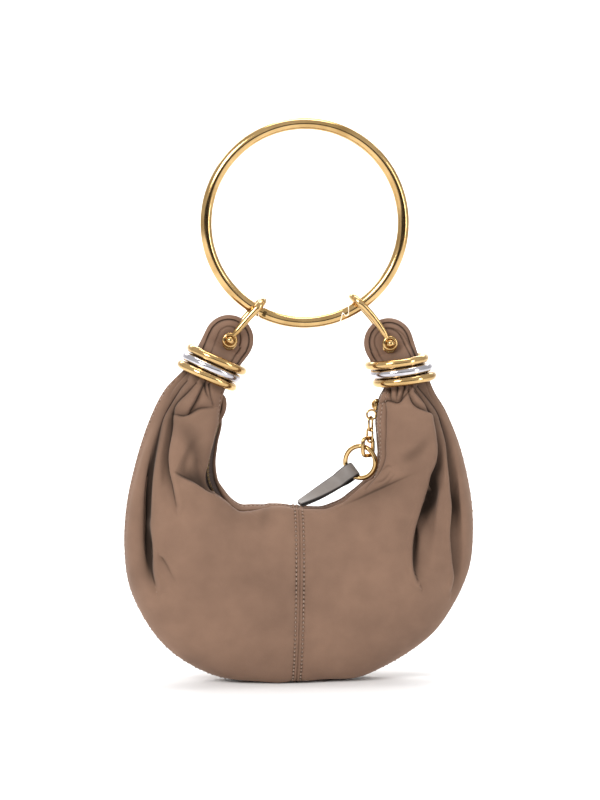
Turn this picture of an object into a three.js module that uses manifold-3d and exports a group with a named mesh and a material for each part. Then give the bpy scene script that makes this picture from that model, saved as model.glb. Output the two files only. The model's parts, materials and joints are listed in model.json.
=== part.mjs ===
// Ring handle bag: a crescent bag of soft leather that hangs by two metal bows from a large ring.
// Millimetres, +Z up, the front faces -Y. The origin is the inside top of the ring, where a hand carries
// the bag.
import * as THREE from "three";
import { mergeVertices } from "three/addons/utils/BufferGeometryUtils.js";
import Module from "manifold-3d";

const wasm = await Module();
wasm.setup();

// Driving sizes of the metal parts
const gap = 0.3; // clearance between pieces that touch or slide
const ringRadius = 65.2; // to the middle of the ring's tube
const ringTube = 3.8;
const pivotAngle = -24.6; // degrees along the ring from its lowest point, + towards the right
const catchAngle = 23.2;
const hingePinRadius = 1.9;
const hingeTongue = 2.6; // thickness of the ring's tongue between the gate's cheeks
const crownWire = 2.6; // radius of a bow's wire at its crown
const legWire = 2.15;
const eyeWire = 1.45;
const eyeRadius = 3.7; // to the middle of the eye's wire
const legSpread = 8.1; // from the bag's mid plane to the middle of a leg
const crownClearance = 0.9; // between the ring and the inside of a bow's crown
const bowLength = 29; // from the pin to the middle of the ring's tube
const bowPinRadius = 1.9;
const ballRadius = 2.7;
const bushingRadius = 4.9;
const bushingDrop = 1.9; // how far the bushing's middle lies below the pin
const collarTube = 2.85;
const collarRadius = 18.65; // to the middle of a collar's tube
const collarGap = 0.45; // between two collars of one stack
const collarCount = 3;

// Driving sizes of the leather parts
const bagWidth = 231.5;
const bagHeight = 200.2; // from the lowest collars to the floor of the bag
const bagDepth = 62;
const bagOffset = -3.6; // of the bag's middle line from the ring's
const leatherWall = 2;
const lobeRadius = 16.4;
const lobeHalf = 4.6; // half the thickness of the lobe between the bow's legs
const neckSlack = 0.5; // between the gathered neck and the collars round it
const seamGap = 0.3;
const foldDepth = 8;
const foldWidth = 4.6;
const zipOpening = 7; // between the two turned-in panel edges
const zipDip = 8; // how far the zip lies below the rims at the middle of the bag
const zipDipWidth = 9;
const tapeOverlap = 3.5; // how far the tape runs on under each panel
const tapeThickness = 1;
const teethWidth = 4.4;
const teethHeight = 1.3;

// Driving sizes of the zip's pull
const sliderPlace = 19.1; // along the bag, in stations
const sliderLength = 9;
const sliderWidth = 5.2;
const sliderHeight = 3;
const bailRadius = 3.1;
const bailWire = 0.75;
const linkLength = 0.054 * bagHeight; // the chain and its ring hang clear of the zip below them
const linkWidth = 6.8;
const linkWire = 0.75;
const linkPlay = 0.2; // between two links that hang in each other
const squareLinkWidth = 11.6;
const squareLinkHeight = 14.4;
const squareLinkBar = 2.9;
const squareLinkThickness = 2.6;
const pullRingRadius = 0.053 * bagHeight; // to the middle of its tube
const pullRingTube = 1.6;
const pullRingShift = 0.49 * pullRingRadius; // from where it hangs to above its middle
const tagWidth = 0.94 * pullRingRadius;
const tagLayer = 1.5; // the tag is a strap folded over the pull ring, two layers thick
const tagLoop = 4; // radius of the fold's inside
const tagEndPlace = 10.2; // where the tag's end lies over the zip, in stations
const endTabThickness = 2.6;
const endTabWidth = 8;

// One row for each end of the bag: its bow, the pin that holds the leather lobe, and the gathered neck
// side: -1 left, 1 right; cross: degrees round the ring to the bow; bow: share of bowLength; bowLean, lean:
// degrees from upright of the bow and the neck; tilt: degrees of the collars from level; first: the upper
// collar's distance from the pin as a share of lobeRadius
const necks = [
  { name: "left", side: -1, cross: -30.2, bow: 0.917, bowLean: 41.4, lean: 31.4, tilt: 24.4, first: 0.927 },
  { name: "right", side: 1, cross: 33.6, bow: 1.083, bowLean: 38.2, lean: 23.9, tilt: 7.7, first: 0.829 },
];

// One row for each cross-section of the bag from the left neck round the bottom to the right neck
// out, in: the outer seam and the zip edge, across as a share of half the width and down as a share of the
// height; depth: share of half the depth; full: 0 is a round section, 1 a full one; dip: share of zipDip;
// face: how far the zip's edge turns to the front
const sections = [
  { outX: -0.772, outZ: 0.041, inX: -0.44, inZ: 0.09, depth: 0.58, full: 0.1, dip: 0, face: 0 },
  { outX: -0.858, outZ: 0.14, inX: -0.442, inZ: 0.153, depth: 0.68, full: 0.3, dip: 0, face: 0.3 },
  { outX: -0.932, outZ: 0.271, inX: -0.47, inZ: 0.232, depth: 0.79, full: 0.6, dip: 0.1, face: 0.5 },
  { outX: -0.986, outZ: 0.413, inX: -0.468, inZ: 0.311, depth: 0.88, full: 0.8, dip: 0.3, face: 0.5 },
  { outX: -1.0, outZ: 0.562, inX: -0.412, inZ: 0.367, depth: 0.94, full: 0.9, dip: 0.6, face: 0.3 },
  { outX: -0.96, outZ: 0.707, inX: -0.322, inZ: 0.412, depth: 0.98, full: 1, dip: 0.9, face: 0.1 },
  { outX: -0.812, outZ: 0.858, inX: -0.242, inZ: 0.408, depth: 1, full: 1, dip: 1, face: 0 },
  { outX: -0.613, outZ: 0.952, inX: -0.168, inZ: 0.402, depth: 1, full: 1, dip: 1, face: 0 },
  { outX: -0.339, outZ: 1.012, inX: -0.088, inZ: 0.404, depth: 1, full: 1, dip: 1, face: 0 },
  { outX: -0.034, outZ: 1.03, inX: -0.017, inZ: 0.408, depth: 1, full: 1, dip: 1, face: 0 },
  { outX: 0.259, outZ: 1.012, inX: 0.077, inZ: 0.412, depth: 1, full: 1, dip: 1, face: 0 },
  { outX: 0.527, outZ: 0.952, inX: 0.168, inZ: 0.408, depth: 1, full: 1, dip: 1, face: 0 },
  { outX: 0.744, outZ: 0.865, inX: 0.254, inZ: 0.386, depth: 1, full: 1, dip: 0.9, face: 0 },
  { outX: 0.886, outZ: 0.759, inX: 0.328, inZ: 0.35, depth: 0.98, full: 1, dip: 0.8, face: 0 },
  { outX: 0.972, outZ: 0.644, inX: 0.398, inZ: 0.316, depth: 0.95, full: 0.9, dip: 0.6, face: 0 },
  { outX: 1.0, outZ: 0.509, inX: 0.434, inZ: 0.268, depth: 0.9, full: 0.8, dip: 0.4, face: 0 },
  { outX: 0.983, outZ: 0.384, inX: 0.4355, inZ: 0.213, depth: 0.82, full: 0.6, dip: 0.25, face: 0 },
  { outX: 0.926, outZ: 0.239, inX: 0.429, inZ: 0.156, depth: 0.72, full: 0.3, dip: 0.1, face: 0 },
  { outX: 0.846, outZ: 0.12, inX: 0.4416, inZ: 0.097, depth: 0.62, full: 0.15, dip: 0, face: 0 },
  { outX: 0.778, outZ: 0.054, inX: 0.458, inZ: 0.0605, depth: 0.53, full: 0, dip: 0, face: 0 },
];

// One row for each fold of the leather, a valley between two stations; side: 1 on the front, -1 on the back
// from, to: stations, which count the rows above from 1, with 0 at the left collars; height: share from the
// outer seam to the zip, depth: share of foldDepth, both at four even steps; width: share of foldWidth
const folds = [
  { side: 1, from: 0, to: 6.6, height: [0.18, 0.2, 0.235, 0.19], depth: [0.2, 0.7, 1, 0], width: 1 },
  { side: 1, from: 0, to: 5.4, height: [0.37, 0.3, 0.37, 0.52], depth: [0.2, 0.6, 0.5, 0], width: 0.9 },
  { side: 1, from: 0, to: 2, height: [0.56, 0.53, 0.52, 0.5], depth: [0.2, 0.5, 0.7, 0], width: 0.6 },
  { side: 1, from: 21, to: 13.5, height: [0.24, 0.24, 0.51, 0.33], depth: [0.2, 0.6, 0.9, 0], width: 1.1 },
  { side: 1, from: 21, to: 13.8, height: [0.17, 0.14, 0.22, 0.06], depth: [0.15, 0.5, 0.7, 0], width: 0.9 },
  { side: 1, from: 21, to: 18, height: [0.6, 0.55, 0.5, 0.48], depth: [0.2, 0.5, 0.3, 0], width: 0.5 },
  { side: -1, from: 0, to: 6, height: [0.25, 0.25, 0.3, 0.3], depth: [0.2, 0.6, 0.7, 0], width: 1.1 },
  { side: -1, from: 0, to: 4, height: [0.55, 0.5, 0.5, 0.55], depth: [0.2, 0.5, 0.4, 0], width: 0.8 },
  { side: -1, from: 21, to: 15, height: [0.25, 0.22, 0.28, 0.3], depth: [0.2, 0.6, 0.7, 0], width: 1.1 },
  { side: -1, from: 21, to: 17, height: [0.55, 0.5, 0.52, 0.5], depth: [0.2, 0.5, 0.4, 0], width: 0.8 },
];

const gold = { color: 0xd8a548, roughness: 0.16, metalness: 1 };
const silver = { color: 0xc9c8cc, roughness: 0.16, metalness: 1 };
const leather = { color: 0x92725f, roughness: 0.85, metalness: 0 };
const tagLeather = { color: 0x8d827d, roughness: 0.7, metalness: 0 };
const zipFabric = { color: 0x3b2724, roughness: 0.8, metalness: 0 };

const bag = new THREE.Group();
const radians = THREE.MathUtils.degToRad;
const vector = (x, y, z) => new THREE.Vector3(x, y, z);

// Adds one named piece to the bag.
function add(name, geometry, finish) {
  const piece = new THREE.Mesh(geometry, new THREE.MeshStandardMaterial(finish));
  geometry.computeVertexNormals();
  piece.name = name;
  bag.add(piece);
}

// The geometry with its position alone and its shared vertices merged.
function merged(geometry) {
  geometry.deleteAttribute("normal");
  geometry.deleteAttribute("uv");
  return mergeVertices(geometry, 1e-4);
}

// A closed geometry as a solid for joining and cutting.
function solid(geometry) {
  const shape = merged(geometry);
  return new wasm.Manifold(
    new wasm.Mesh({
      numProp: 3,
      vertProperties: shape.attributes.position.array,
      triVerts: new Uint32Array(shape.index.array),
    }),
  );
}

// The geometry of a solid.
function geometryOf(body) {
  const mesh = body.getMesh();
  const geometry = new THREE.BufferGeometry();
  geometry.setAttribute("position", new THREE.BufferAttribute(mesh.vertProperties, mesh.numProp));
  geometry.setIndex(new THREE.BufferAttribute(mesh.triVerts, 1));
  return geometry;
}

// A closed body from points and triangles, turned so that its faces point outwards.
function closedBody(points, triangles) {
  let volume = 0;
  for (const [a, b, c] of triangles)
    volume += points[a].dot(points[b].clone().cross(points[c]));
  const faces = volume > 0 ? triangles : triangles.map(([a, b, c]) => [a, c, b]);
  const geometry = new THREE.BufferGeometry();
  geometry.setFromPoints(points);
  geometry.setIndex(faces.flat());
  return geometry;
}

// The largest body of a cut solid, without the slivers that a facet can leave.
const largest = (cut) => cut.decompose().reduce((a, b) => (b.volume() > a.volume() ? b : a));

// The two triangles between four corners.
const quad = (a, b, c, d) => [[a, b, c], [a, c, d]];

// A body through closed rings of points, each ring with as many points, and flat ends.
function loft(rings) {
  const count = rings[0].length;
  const points = rings.flat();
  const triangles = [];
  for (let i = 0; i + 1 < rings.length; i++)
    for (let j = 0; j < count; j++) {
      const here = i * count + j;
      const next = i * count + ((j + 1) % count);
      triangles.push(...quad(here, next, next + count, here + count));
    }
  const last = (rings.length - 1) * count;
  for (let j = 1; j + 1 < count; j++)
    triangles.push([0, j + 1, j], [last, last + j, last + j + 1]);
  return closedBody(points, triangles);
}

// A round bar along points that lie in one plane, its radius given at each point.
function bar(points, radii, planeNormal, sides) {
  const rings = points.map((point, i) => {
    const before = points[Math.max(i - 1, 0)];
    const after = points[Math.min(i + 1, points.length - 1)];
    const across = after.clone().sub(before).cross(planeNormal).normalize();
    return Array.from({ length: sides }, (_, j) => {
      const turn = (2 * Math.PI * j) / sides;
      return point
        .clone()
        .addScaledVector(across, radii[i] * Math.cos(turn))
        .addScaledVector(planeNormal, radii[i] * Math.sin(turn));
    });
  });
  return loft(rings);
}

// A wall between two grids of points, an outer and an inner one, closed round its four edges.
function wall(outer, inner) {
  const rows = outer.length;
  const columns = outer[0].length;
  const points = [...outer.flat(), ...inner.flat()];
  const out = (i, j) => i * columns + j;
  const back = (i, j) => rows * columns + i * columns + j;
  const lastRow = rows - 1;
  const lastColumn = columns - 1;
  const triangles = [];
  for (let i = 0; i + 1 < rows; i++)
    for (let j = 0; j + 1 < columns; j++) {
      triangles.push(...quad(out(i, j), out(i, j + 1), out(i + 1, j + 1), out(i + 1, j)));
      triangles.push(...quad(back(i, j), back(i + 1, j), back(i + 1, j + 1), back(i, j + 1)));
    }
  for (let i = 0; i + 1 < rows; i++) {
    triangles.push(...quad(out(i, 0), out(i + 1, 0), back(i + 1, 0), back(i, 0)));
    const far = [out(i + 1, lastColumn), out(i, lastColumn), back(i, lastColumn), back(i + 1, lastColumn)];
    triangles.push(...quad(...far));
  }
  for (let j = 0; j + 1 < columns; j++) {
    triangles.push(...quad(out(0, j + 1), out(0, j), back(0, j), back(0, j + 1)));
    const far = [out(lastRow, j), out(lastRow, j + 1), back(lastRow, j + 1), back(lastRow, j)];
    triangles.push(...quad(...far));
  }
  return closedBody(points, triangles);
}

// A cylinder along Y.
function cylinderY(radius, length, x, y, z, sides) {
  return new THREE.CylinderGeometry(radius, radius, length, sides).translate(x, y, z);
}

// A box by its middle and its sizes.
function box(width, depth, height, x, y, z) {
  return new THREE.BoxGeometry(width, depth, height).translate(x, y, z);
}

// A flat outline in X and Z, given as [x, z] corners, thickened by a length along Y about the mid plane.
function plateY(corners, length) {
  const outline = new THREE.Shape(corners.map(([x, z]) => new THREE.Vector2(x, z)));
  return new THREE.ExtrudeGeometry(outline, { depth: length, bevelEnabled: false })
    .rotateX(Math.PI / 2)
    .translate(0, length / 2, 0);
}

// A value along a list of evenly spaced values, on a smooth curve through them.
function along(values, place) {
  const last = values.length - 1;
  const step = Math.min(Math.max(Math.floor(place), 0), last - 1);
  const t = place - step;
  const at = (i) => values[Math.min(Math.max(i, 0), last)];
  const [a, b, c, d] = [at(step - 1), at(step), at(step + 1), at(step + 2)];
  return b + (t / 2) * (c - a + t * (2 * a - 5 * b + 4 * c - d + t * (3 * (b - c) + d - a)));
}

// The ring handle and its gate

const ringCentreZ = ringTube - ringRadius;

// A point near the ring's middle line, by its angle and its distance from the ring's centre.
function onRing(angle, radius = ringRadius) {
  const turn = radians(angle);
  return vector(radius * Math.sin(turn), 0, ringCentreZ - radius * Math.cos(turn));
}

const pivot = onRing(pivotAngle);

// The catch's step as [angle in mm along the ring, mm from its middle line towards the centre], from the
// outside of the ring to its inside: the gate lies above and before it, the ring's lip below and after it.
const catchStep = [
  [-1.15, -1],
  [-0.4, 0.25],
  [-0.1, 0.45],
  [0.15, -0.3],
  [0.6, -0.2],
  [0.8, 0.1],
].map(([round, inward]) => [round * ringTube, inward * ringTube]);

// The wedge of the plane that holds the gate, from the pivot to the catch, its step moved right and down.
function gateWedge(right, down) {
  const far = 3 * ringTube;
  const stepAt = ([round, inward]) => {
    const angle = catchAngle + THREE.MathUtils.radToDeg(round / ringRadius);
    return onRing(angle, ringRadius - inward);
  };
  const edge = catchStep.map(stepAt);
  const corners = [
    onRing(pivotAngle, ringRadius + far),
    ...[0.25, 0.5, 0.75].map((share) =>
      onRing(THREE.MathUtils.lerp(pivotAngle, catchAngle, share), ringRadius + far),
    ),
    edge[0].clone().setZ(ringCentreZ - ringRadius - far),
    ...edge.map((point) => point.clone().add(vector(right, 0, -down))),
    edge[edge.length - 1].clone().add(vector(right, 0, far)),
    onRing(catchAngle, ringRadius - far),
    onRing(pivotAngle, ringRadius - far),
  ];
  corners[4].x += right;
  return corners.map((point) => [point.x, point.z]);
}

function ringAndGate() {
  const tube = solid(
    new THREE.TorusGeometry(ringRadius, ringTube, 10, 36).rotateX(Math.PI / 2).translate(0, 0, ringCentreZ),
  );
  const reach = 4 * ringTube;
  const atPivot = (radius, length) => solid(cylinderY(radius, length, pivot.x, 0, pivot.z, 20));
  const round = atPivot(ringTube, reach);
  const cleared = atPivot(ringTube + gap, reach);
  const hole = atPivot(hingePinRadius + gap, reach);
  const tongueSlab = solid(box(reach, hingeTongue, reach, pivot.x, 0, pivot.z));
  const slotSlab = solid(box(reach, hingeTongue + 2 * gap, reach, pivot.x, 0, pivot.z));
  const wedgeAt = (right, down) => solid(plateY(gateWedge(right, down), reach));
  const wedge = wedgeAt(0, 0);
  const wedgeCleared = wedgeAt(gap, gap).add(wedgeAt(-gap, 0)).add(wedgeAt(gap, 0)).add(wedgeAt(0, gap));
  const gate = tube
    .intersect(wedge.add(round))
    .subtract(cleared.intersect(slotSlab))
    .subtract(hole);
  const tongue = tube.intersect(round).intersect(tongueSlab);
  const root = tube.intersect(tongueSlab).intersect(cleared).subtract(wedge);
  const ring = tube.subtract(wedgeCleared).subtract(cleared).add(tongue).add(root).subtract(hole);
  return { ring: largest(ring), gate: largest(gate) };
}

const { ring, gate } = ringAndGate();
add("ring_handle", geometryOf(ring), gold);
add("ring_gate", geometryOf(gate), gold);

// The pin stands just proud of the tube, with a smaller face at each end.
const pinRim = ringTube - 0.35;
const pinFace = ringTube + 0.15;
const pinProfile = [
  [0, -pinFace],
  [hingePinRadius * 0.7, -pinFace],
  [hingePinRadius, -pinRim],
  [hingePinRadius, pinRim],
  [hingePinRadius * 0.7, pinFace],
  [0, pinFace],
].map(([x, y]) => new THREE.Vector2(x, y));
add("gate_pin", new THREE.LatheGeometry(pinProfile, 16).translate(pivot.x, 0, pivot.z), gold);

// The bows, pins, collars and necks

// Places of one end of the bag, worked out from its row.
function neckFrame(row) {
  const lean = radians(row.lean);
  const tilt = radians(row.tilt);
  const bowLean = radians(row.bowLean);
  const crossing = onRing(row.cross);
  const bowDown = vector(row.side * Math.sin(bowLean), 0, -Math.cos(bowLean));
  const pin = crossing.clone().addScaledVector(bowDown, row.bow * bowLength);
  const down = vector(row.side * Math.sin(lean), 0, -Math.cos(lean));
  const outward = vector(row.side * Math.cos(tilt), 0, Math.sin(tilt));
  const pitch = (2 * collarTube + collarGap) / Math.cos(lean - tilt);
  const firstCollar = row.first * lobeRadius;
  const lastCollar = firstCollar + (collarCount - 1) * pitch;
  const exit = lastCollar + pitch * 0.62;
  return { ...row, pin, crossing, down, outward, tilt, pitch, firstCollar, lastCollar, exit };
}

const frames = necks.map(neckFrame);
const neckRadius = collarRadius - collarTube - neckSlack;

// A point on a neck's middle line, at a distance from the pin.
const onNeck = (frame, distance) => frame.pin.clone().addScaledVector(frame.down, distance);

// The bow: two legs from the pin's eyes up to a crown that passes through the ring.
function bow(frame) {
  const reachAxis = frame.crossing.clone().sub(frame.pin);
  const length = reachAxis.length();
  reachAxis.normalize();
  const sideAxis = vector(0, 1, 0);
  const crownReach = ringTube + crownClearance + crownWire;
  const legPlaces = [0, 0.16, 0.4, 0.75];
  const leg = legPlaces.map((share) => ({
    reach: THREE.MathUtils.lerp(eyeRadius, length, share),
    spread: legSpread,
    radius: share === 0 ? eyeWire : THREE.MathUtils.lerp(legWire, crownWire, share ** 2),
  }));
  const crownSteps = 8;
  const crown = Array.from({ length: crownSteps + 1 }, (_, i) => {
    const turn = (Math.PI * i) / crownSteps;
    return {
      reach: length + crownReach * Math.sin(turn),
      spread: legSpread * Math.cos(turn),
      radius: crownWire,
    };
  });
  const otherLeg = leg.map((row) => ({ ...row, spread: -row.spread })).reverse();
  const path = [...leg, ...crown, ...otherLeg];
  const points = path.map(({ reach, spread }) =>
    frame.pin.clone().addScaledVector(reachAxis, reach).addScaledVector(sideAxis, spread),
  );
  const planeNormal = reachAxis.clone().cross(sideAxis);
  let body = solid(bar(points, path.map((row) => row.radius), planeNormal, 8));
  for (const side of [-1, 1]) {
    const eye = new THREE.TorusGeometry(eyeRadius, eyeWire, 6, 12)
      .rotateX(Math.PI / 2)
      .translate(frame.pin.x, side * legSpread, frame.pin.z);
    body = body.add(solid(eye));
  }
  return body;
}

// The pin through both eyes and the lobe, with a ball at each end and a faceted bushing inside each eye.
function bowPin(frame) {
  const { x, z } = frame.pin;
  const fromEye = Math.sqrt((ballRadius + eyeWire + gap) ** 2 - eyeRadius ** 2);
  const ballPlace = legSpread + fromEye;
  let body = solid(cylinderY(bowPinRadius, 2 * ballPlace, x, 0, z, 10));
  const bushingStart = lobeHalf + gap;
  const bushingEnd = legSpread - eyeWire - gap;
  const middle = (bushingStart + bushingEnd) / 2;
  for (const side of [-1, 1]) {
    const ball = new THREE.SphereGeometry(ballRadius, 8, 5).translate(x, side * ballPlace, z);
    const bushingLength = bushingEnd - bushingStart;
    const bushing = cylinderY(bushingRadius, bushingLength, x, side * middle, z - bushingDrop, 8);
    body = body.add(solid(ball)).add(solid(bushing));
  }
  return body;
}

// A closed ring of points round a neck, at a distance from the pin, as wide and as deep as given.
function neckRing(frame, distance, halfWidth, halfDepth, sides) {
  const centre = onNeck(frame, distance);
  return Array.from({ length: sides }, (_, i) => {
    const turn = (2 * Math.PI * i) / sides;
    return centre
      .clone()
      .addScaledVector(frame.outward, halfWidth * Math.cos(turn))
      .add(vector(0, halfDepth * Math.sin(turn), 0));
  });
}

// The gathered leather: a plug inside the collars that flattens into a lobe folded round the pin.
function neckLoop(frame) {
  const shoulder = frame.firstCollar - collarTube;
  const flat = bushingDrop + bushingRadius + 1.4;
  const levels = [
    { distance: frame.exit - gap, width: 1, depth: 1 },
    { distance: frame.firstCollar, width: 1, depth: 1 },
    { distance: shoulder, width: 1, depth: 0.9 },
    { distance: THREE.MathUtils.lerp(flat, shoulder, 0.5), width: 1, depth: 0.62 },
    { distance: flat, width: 1, depth: (lobeHalf - 0.4) / neckRadius },
    { distance: 0, width: 0.95, depth: (lobeHalf - 0.6) / neckRadius },
  ];
  const plug = solid(
    loft(levels.map((level) =>
      neckRing(frame, level.distance, neckRadius * level.width, neckRadius * level.depth, 16),
    )),
  );
  // Half the lobe's section from the pin's hole to its rim, with a crease half way and one near the rim.
  const rim = [
    [bowPinRadius + gap, lobeHalf],
    [0.44 * lobeRadius, lobeHalf],
    [0.49 * lobeRadius, lobeHalf - 1],
    [0.54 * lobeRadius, lobeHalf],
    [0.76 * lobeRadius, lobeHalf],
    [0.81 * lobeRadius, lobeHalf - 1.1],
    [0.86 * lobeRadius, lobeHalf - 0.5],
    [0.97 * lobeRadius, 0.55 * lobeHalf],
  ];
  const section = [...rim, [lobeRadius, 0], ...rim.map(([x, y]) => [x, -y]).reverse(), rim[0]].reverse();
  const lobe = new THREE.LatheGeometry(
    section.map(([x, y]) => new THREE.Vector2(x, y)),
    16,
  ).translate(frame.pin.x, 0, frame.pin.z);
  const hole = cylinderY(bowPinRadius + 2 * gap, 3 * legSpread, frame.pin.x, 0, frame.pin.z, 10);
  return plug.subtract(solid(hole)).add(solid(lobe));
}

const collarPlaces = ["upper", "middle", "lower"];
for (const frame of frames) {
  add("bow_" + frame.name, geometryOf(bow(frame)), gold);
  add("bow_pin_" + frame.name, geometryOf(bowPin(frame)), gold);
  add("neck_loop_" + frame.name, geometryOf(neckLoop(frame)), leather);
  collarPlaces.forEach((place, i) => {
    const centre = onNeck(frame, frame.firstCollar + i * frame.pitch);
    const collar = new THREE.TorusGeometry(collarRadius, collarTube, 8, 16)
      .rotateY(-frame.side * frame.tilt)
      .translate(centre.x, 0, centre.z);
    add(`collar_${frame.name}_${place}`, merged(collar), i === 1 ? silver : gold);
  });
}

// The leather body

const bodyTop = (onNeck(frames[0], frames[0].lastCollar).z + onNeck(frames[1], frames[1].lastCollar).z) / 2;
const floorZ = bodyTop - bagHeight;

// The section of a neck at a distance from the pin.
function neckSection(frame, distance) {
  const centre = onNeck(frame, distance);
  const outer = centre.clone().addScaledVector(frame.outward, neckRadius);
  const inner = centre.clone().addScaledVector(frame.outward, -neckRadius);
  const edges = { outX: outer.x, outZ: outer.z, inX: inner.x, inZ: inner.z };
  return { ...edges, depth: neckRadius, full: 0, dip: 0, face: 0 };
}

const [leftFrame, rightFrame] = frames;
const stations = [
  neckSection(leftFrame, leftFrame.exit),
  ...sections.map((row) => ({
    outX: bagOffset + (row.outX * bagWidth) / 2,
    outZ: bodyTop - row.outZ * bagHeight,
    inX: bagOffset + (row.inX * bagWidth) / 2,
    inZ: bodyTop - row.inZ * bagHeight,
    depth: (row.depth * bagDepth) / 2,
    full: row.full,
    dip: row.dip * zipDip,
    face: row.face,
  })),
  neckSection(rightFrame, rightFrame.exit),
];
const lastStation = stations.length - 1;
const seamStation = 10;
const columns = Object.fromEntries(
  Object.keys(stations[0]).map((key) => [key, stations.map((row) => row[key])]),
);

// The section at any place along the bag.
function sectionAt(place) {
  return Object.fromEntries(Object.entries(columns).map(([key, values]) => [key, along(values, place)]));
}

// How far the folds push the leather in at a place, at a height given as a share and in mm.
function foldAt(place, height, length, side) {
  let depth = 0;
  for (const fold of folds) {
    if (fold.side !== side) continue;
    const share = (place - fold.from) / (fold.to - fold.from);
    if (share < -0.1 || share > 1) continue;
    const away = ((height - along(fold.height, 3 * share)) * length) / (foldWidth * fold.width);
    depth += foldDepth * Math.max(along(fold.depth, 3 * share), 0) * Math.exp(-(away ** 2));
  }
  return depth;
}

// A point of the bag's outer skin: place runs along the bag, and turn round its section, from 0 at the zip
// over the front to 180 degrees at the outer seam, and over the back below 0.
function skin(place, turn) {
  const s = sectionAt(place);
  const outer = vector(s.outX, 0, s.outZ);
  const up = vector(s.inX, 0, s.inZ).sub(outer);
  const length = up.length();
  up.normalize();
  const height = (1 + Math.cos(turn)) / 2;
  const rounding = 1 - 0.22 * s.full;
  const side = Math.sin(turn) > 0 ? 1 : -1;
  const bulge = s.depth * Math.abs(Math.sin(turn)) ** rounding;
  const y = -side * Math.max(bulge - foldAt(place, height, length, side), 0.2 * bulge);
  const cap = Math.max(2 * height - 1, 0) ** 2;
  const faced = s.face * y * Math.exp(-((y / zipOpening) ** 2));
  const dipped = s.dip * Math.exp(-((y / zipDipWidth) ** 2));
  const point = outer.addScaledVector(up, height * length + cap * (faced - dipped)).setY(y);
  point.z = Math.max(point.z, floorZ);
  return point;
}

// The turn at which the section is so many millimetres from its mid plane, near the zip.
function turnAt(place, distance) {
  const s = sectionAt(place);
  return Math.asin((distance / s.depth) ** (1 / (1 - 0.22 * s.full)));
}

// A point so far inside the skin.
function inside(place, turn, inset) {
  const point = skin(place, turn);
  const step = 1e-3;
  const alongBag = skin(place + step, turn).sub(skin(place - step, turn));
  const roundBag = skin(place, turn + step).sub(skin(place, turn - step));
  const normal = alongBag.cross(roundBag).normalize();
  return point.addScaledVector(normal, inset);
}

// The rows and columns of points on each panel; the zip's parts use the same rows.
const panelRows = 15;
const panelTurns = 12;
const evenPlaces = (from, to) =>
  Array.from({ length: panelRows + 1 }, (_, i) => THREE.MathUtils.lerp(from, to, i / panelRows));
const panelPlaces = { left: evenPlaces(0, seamStation), right: evenPlaces(seamStation, lastStation) };

// A point of a panel, so many columns from the zip edge, on the front with sign 1 and on the back with -1.
function panelPoint(place, column, sign, inset) {
  const atZip = turnAt(place, zipOpening / 2);
  const atSeam = Math.PI - turnAt(place, seamGap / 2);
  const turn = sign * THREE.MathUtils.lerp(atZip, atSeam, column / panelTurns);
  const point = inside(place, turn, inset);
  point.y = -sign * Math.max(-sign * point.y, seamGap / 2);
  return point;
}

// One of the four leather panels, from a neck to the seam down the middle of the bag.
function panel(frame, front) {
  const sign = front ? 1 : -1;
  const layers = [0, leatherWall].map((inset) =>
    panelPlaces[frame.name].map((place) =>
      Array.from({ length: panelTurns + 1 }, (_, column) => {
        const point = panelPoint(place, column, sign, inset);
        if (place === seamStation) point.x += (frame.side * seamGap) / 2;
        return point;
      }),
    ),
  );
  return wall(...layers);
}

for (const frame of frames)
  for (const front of [true, false])
    add(`${front ? "front" : "back"}_panel_${frame.name}`, panel(frame, front), leather);

// The zip's places: every row of the panels but the first and the last.
const zipPlaces = [...panelPlaces.left.slice(1), ...panelPlaces.right.slice(1, -1)];

// The line across the zip under the panels at one place, from front to back, and the way into the bag.
function zipLine(place) {
  const s = sectionAt(place);
  const down = vector(s.outX - s.inX, 0, s.outZ - s.inZ).normalize();
  const [front, back] = [1, -1].map((sign) => {
    const edge = panelPoint(place, 0, sign, leatherWall);
    const under = panelPoint(place, 1, sign, leatherWall).sub(edge).setLength(tapeOverlap).add(edge);
    return { edge, under };
  });
  return { down, front, back, middle: front.edge.clone().lerp(back.edge, 0.5) };
}

// A strip through the zip lines, between two depths below them, with points picked from each line.
function zipStrip(places, top, bottom, pick) {
  const lines = places.map(zipLine);
  const layers = [top, bottom].map((depth) =>
    lines.map((line) => pick(line).map((point) => point.clone().addScaledVector(line.down, depth))),
  );
  return wall(...layers);
}

const tapeGap = gap + 0.15;
const teethShare = teethWidth / zipOpening;
add(
  "zip_tape",
  zipStrip(zipPlaces, tapeGap, tapeGap + tapeThickness, ({ front, back }) => [
    front.under,
    front.edge,
    back.edge,
    back.under,
  ]),
  zipFabric,
);
add(
  "zip_teeth",
  zipStrip(zipPlaces, tapeGap - gap - teethHeight, tapeGap - gap, ({ front, back }) => [
    back.edge.clone().lerp(front.edge, 0.5 + teethShare / 2),
    back.edge.clone().lerp(front.edge, 0.5 - teethShare / 2),
  ]),
  zipFabric,
);

// A leather tab folded over the left end of the zip.
const tabPlaces = [0.15, 0.45, 0.75, 1.05, 1.3];
const tabTurns = [-1, -0.5, 0, 0.5, 1];
const tabLayers = [-gap - endTabThickness, -2 * gap].map((inset) =>
  tabPlaces.map((place) => {
    const edge = turnAt(place, endTabWidth / 2);
    return tabTurns.map((share) => inside(place, share * edge, inset));
  }),
);
add("zip_end_tab", wall(...tabLayers), leather);

// The zip's slider, chain, pull ring and tag

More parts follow.
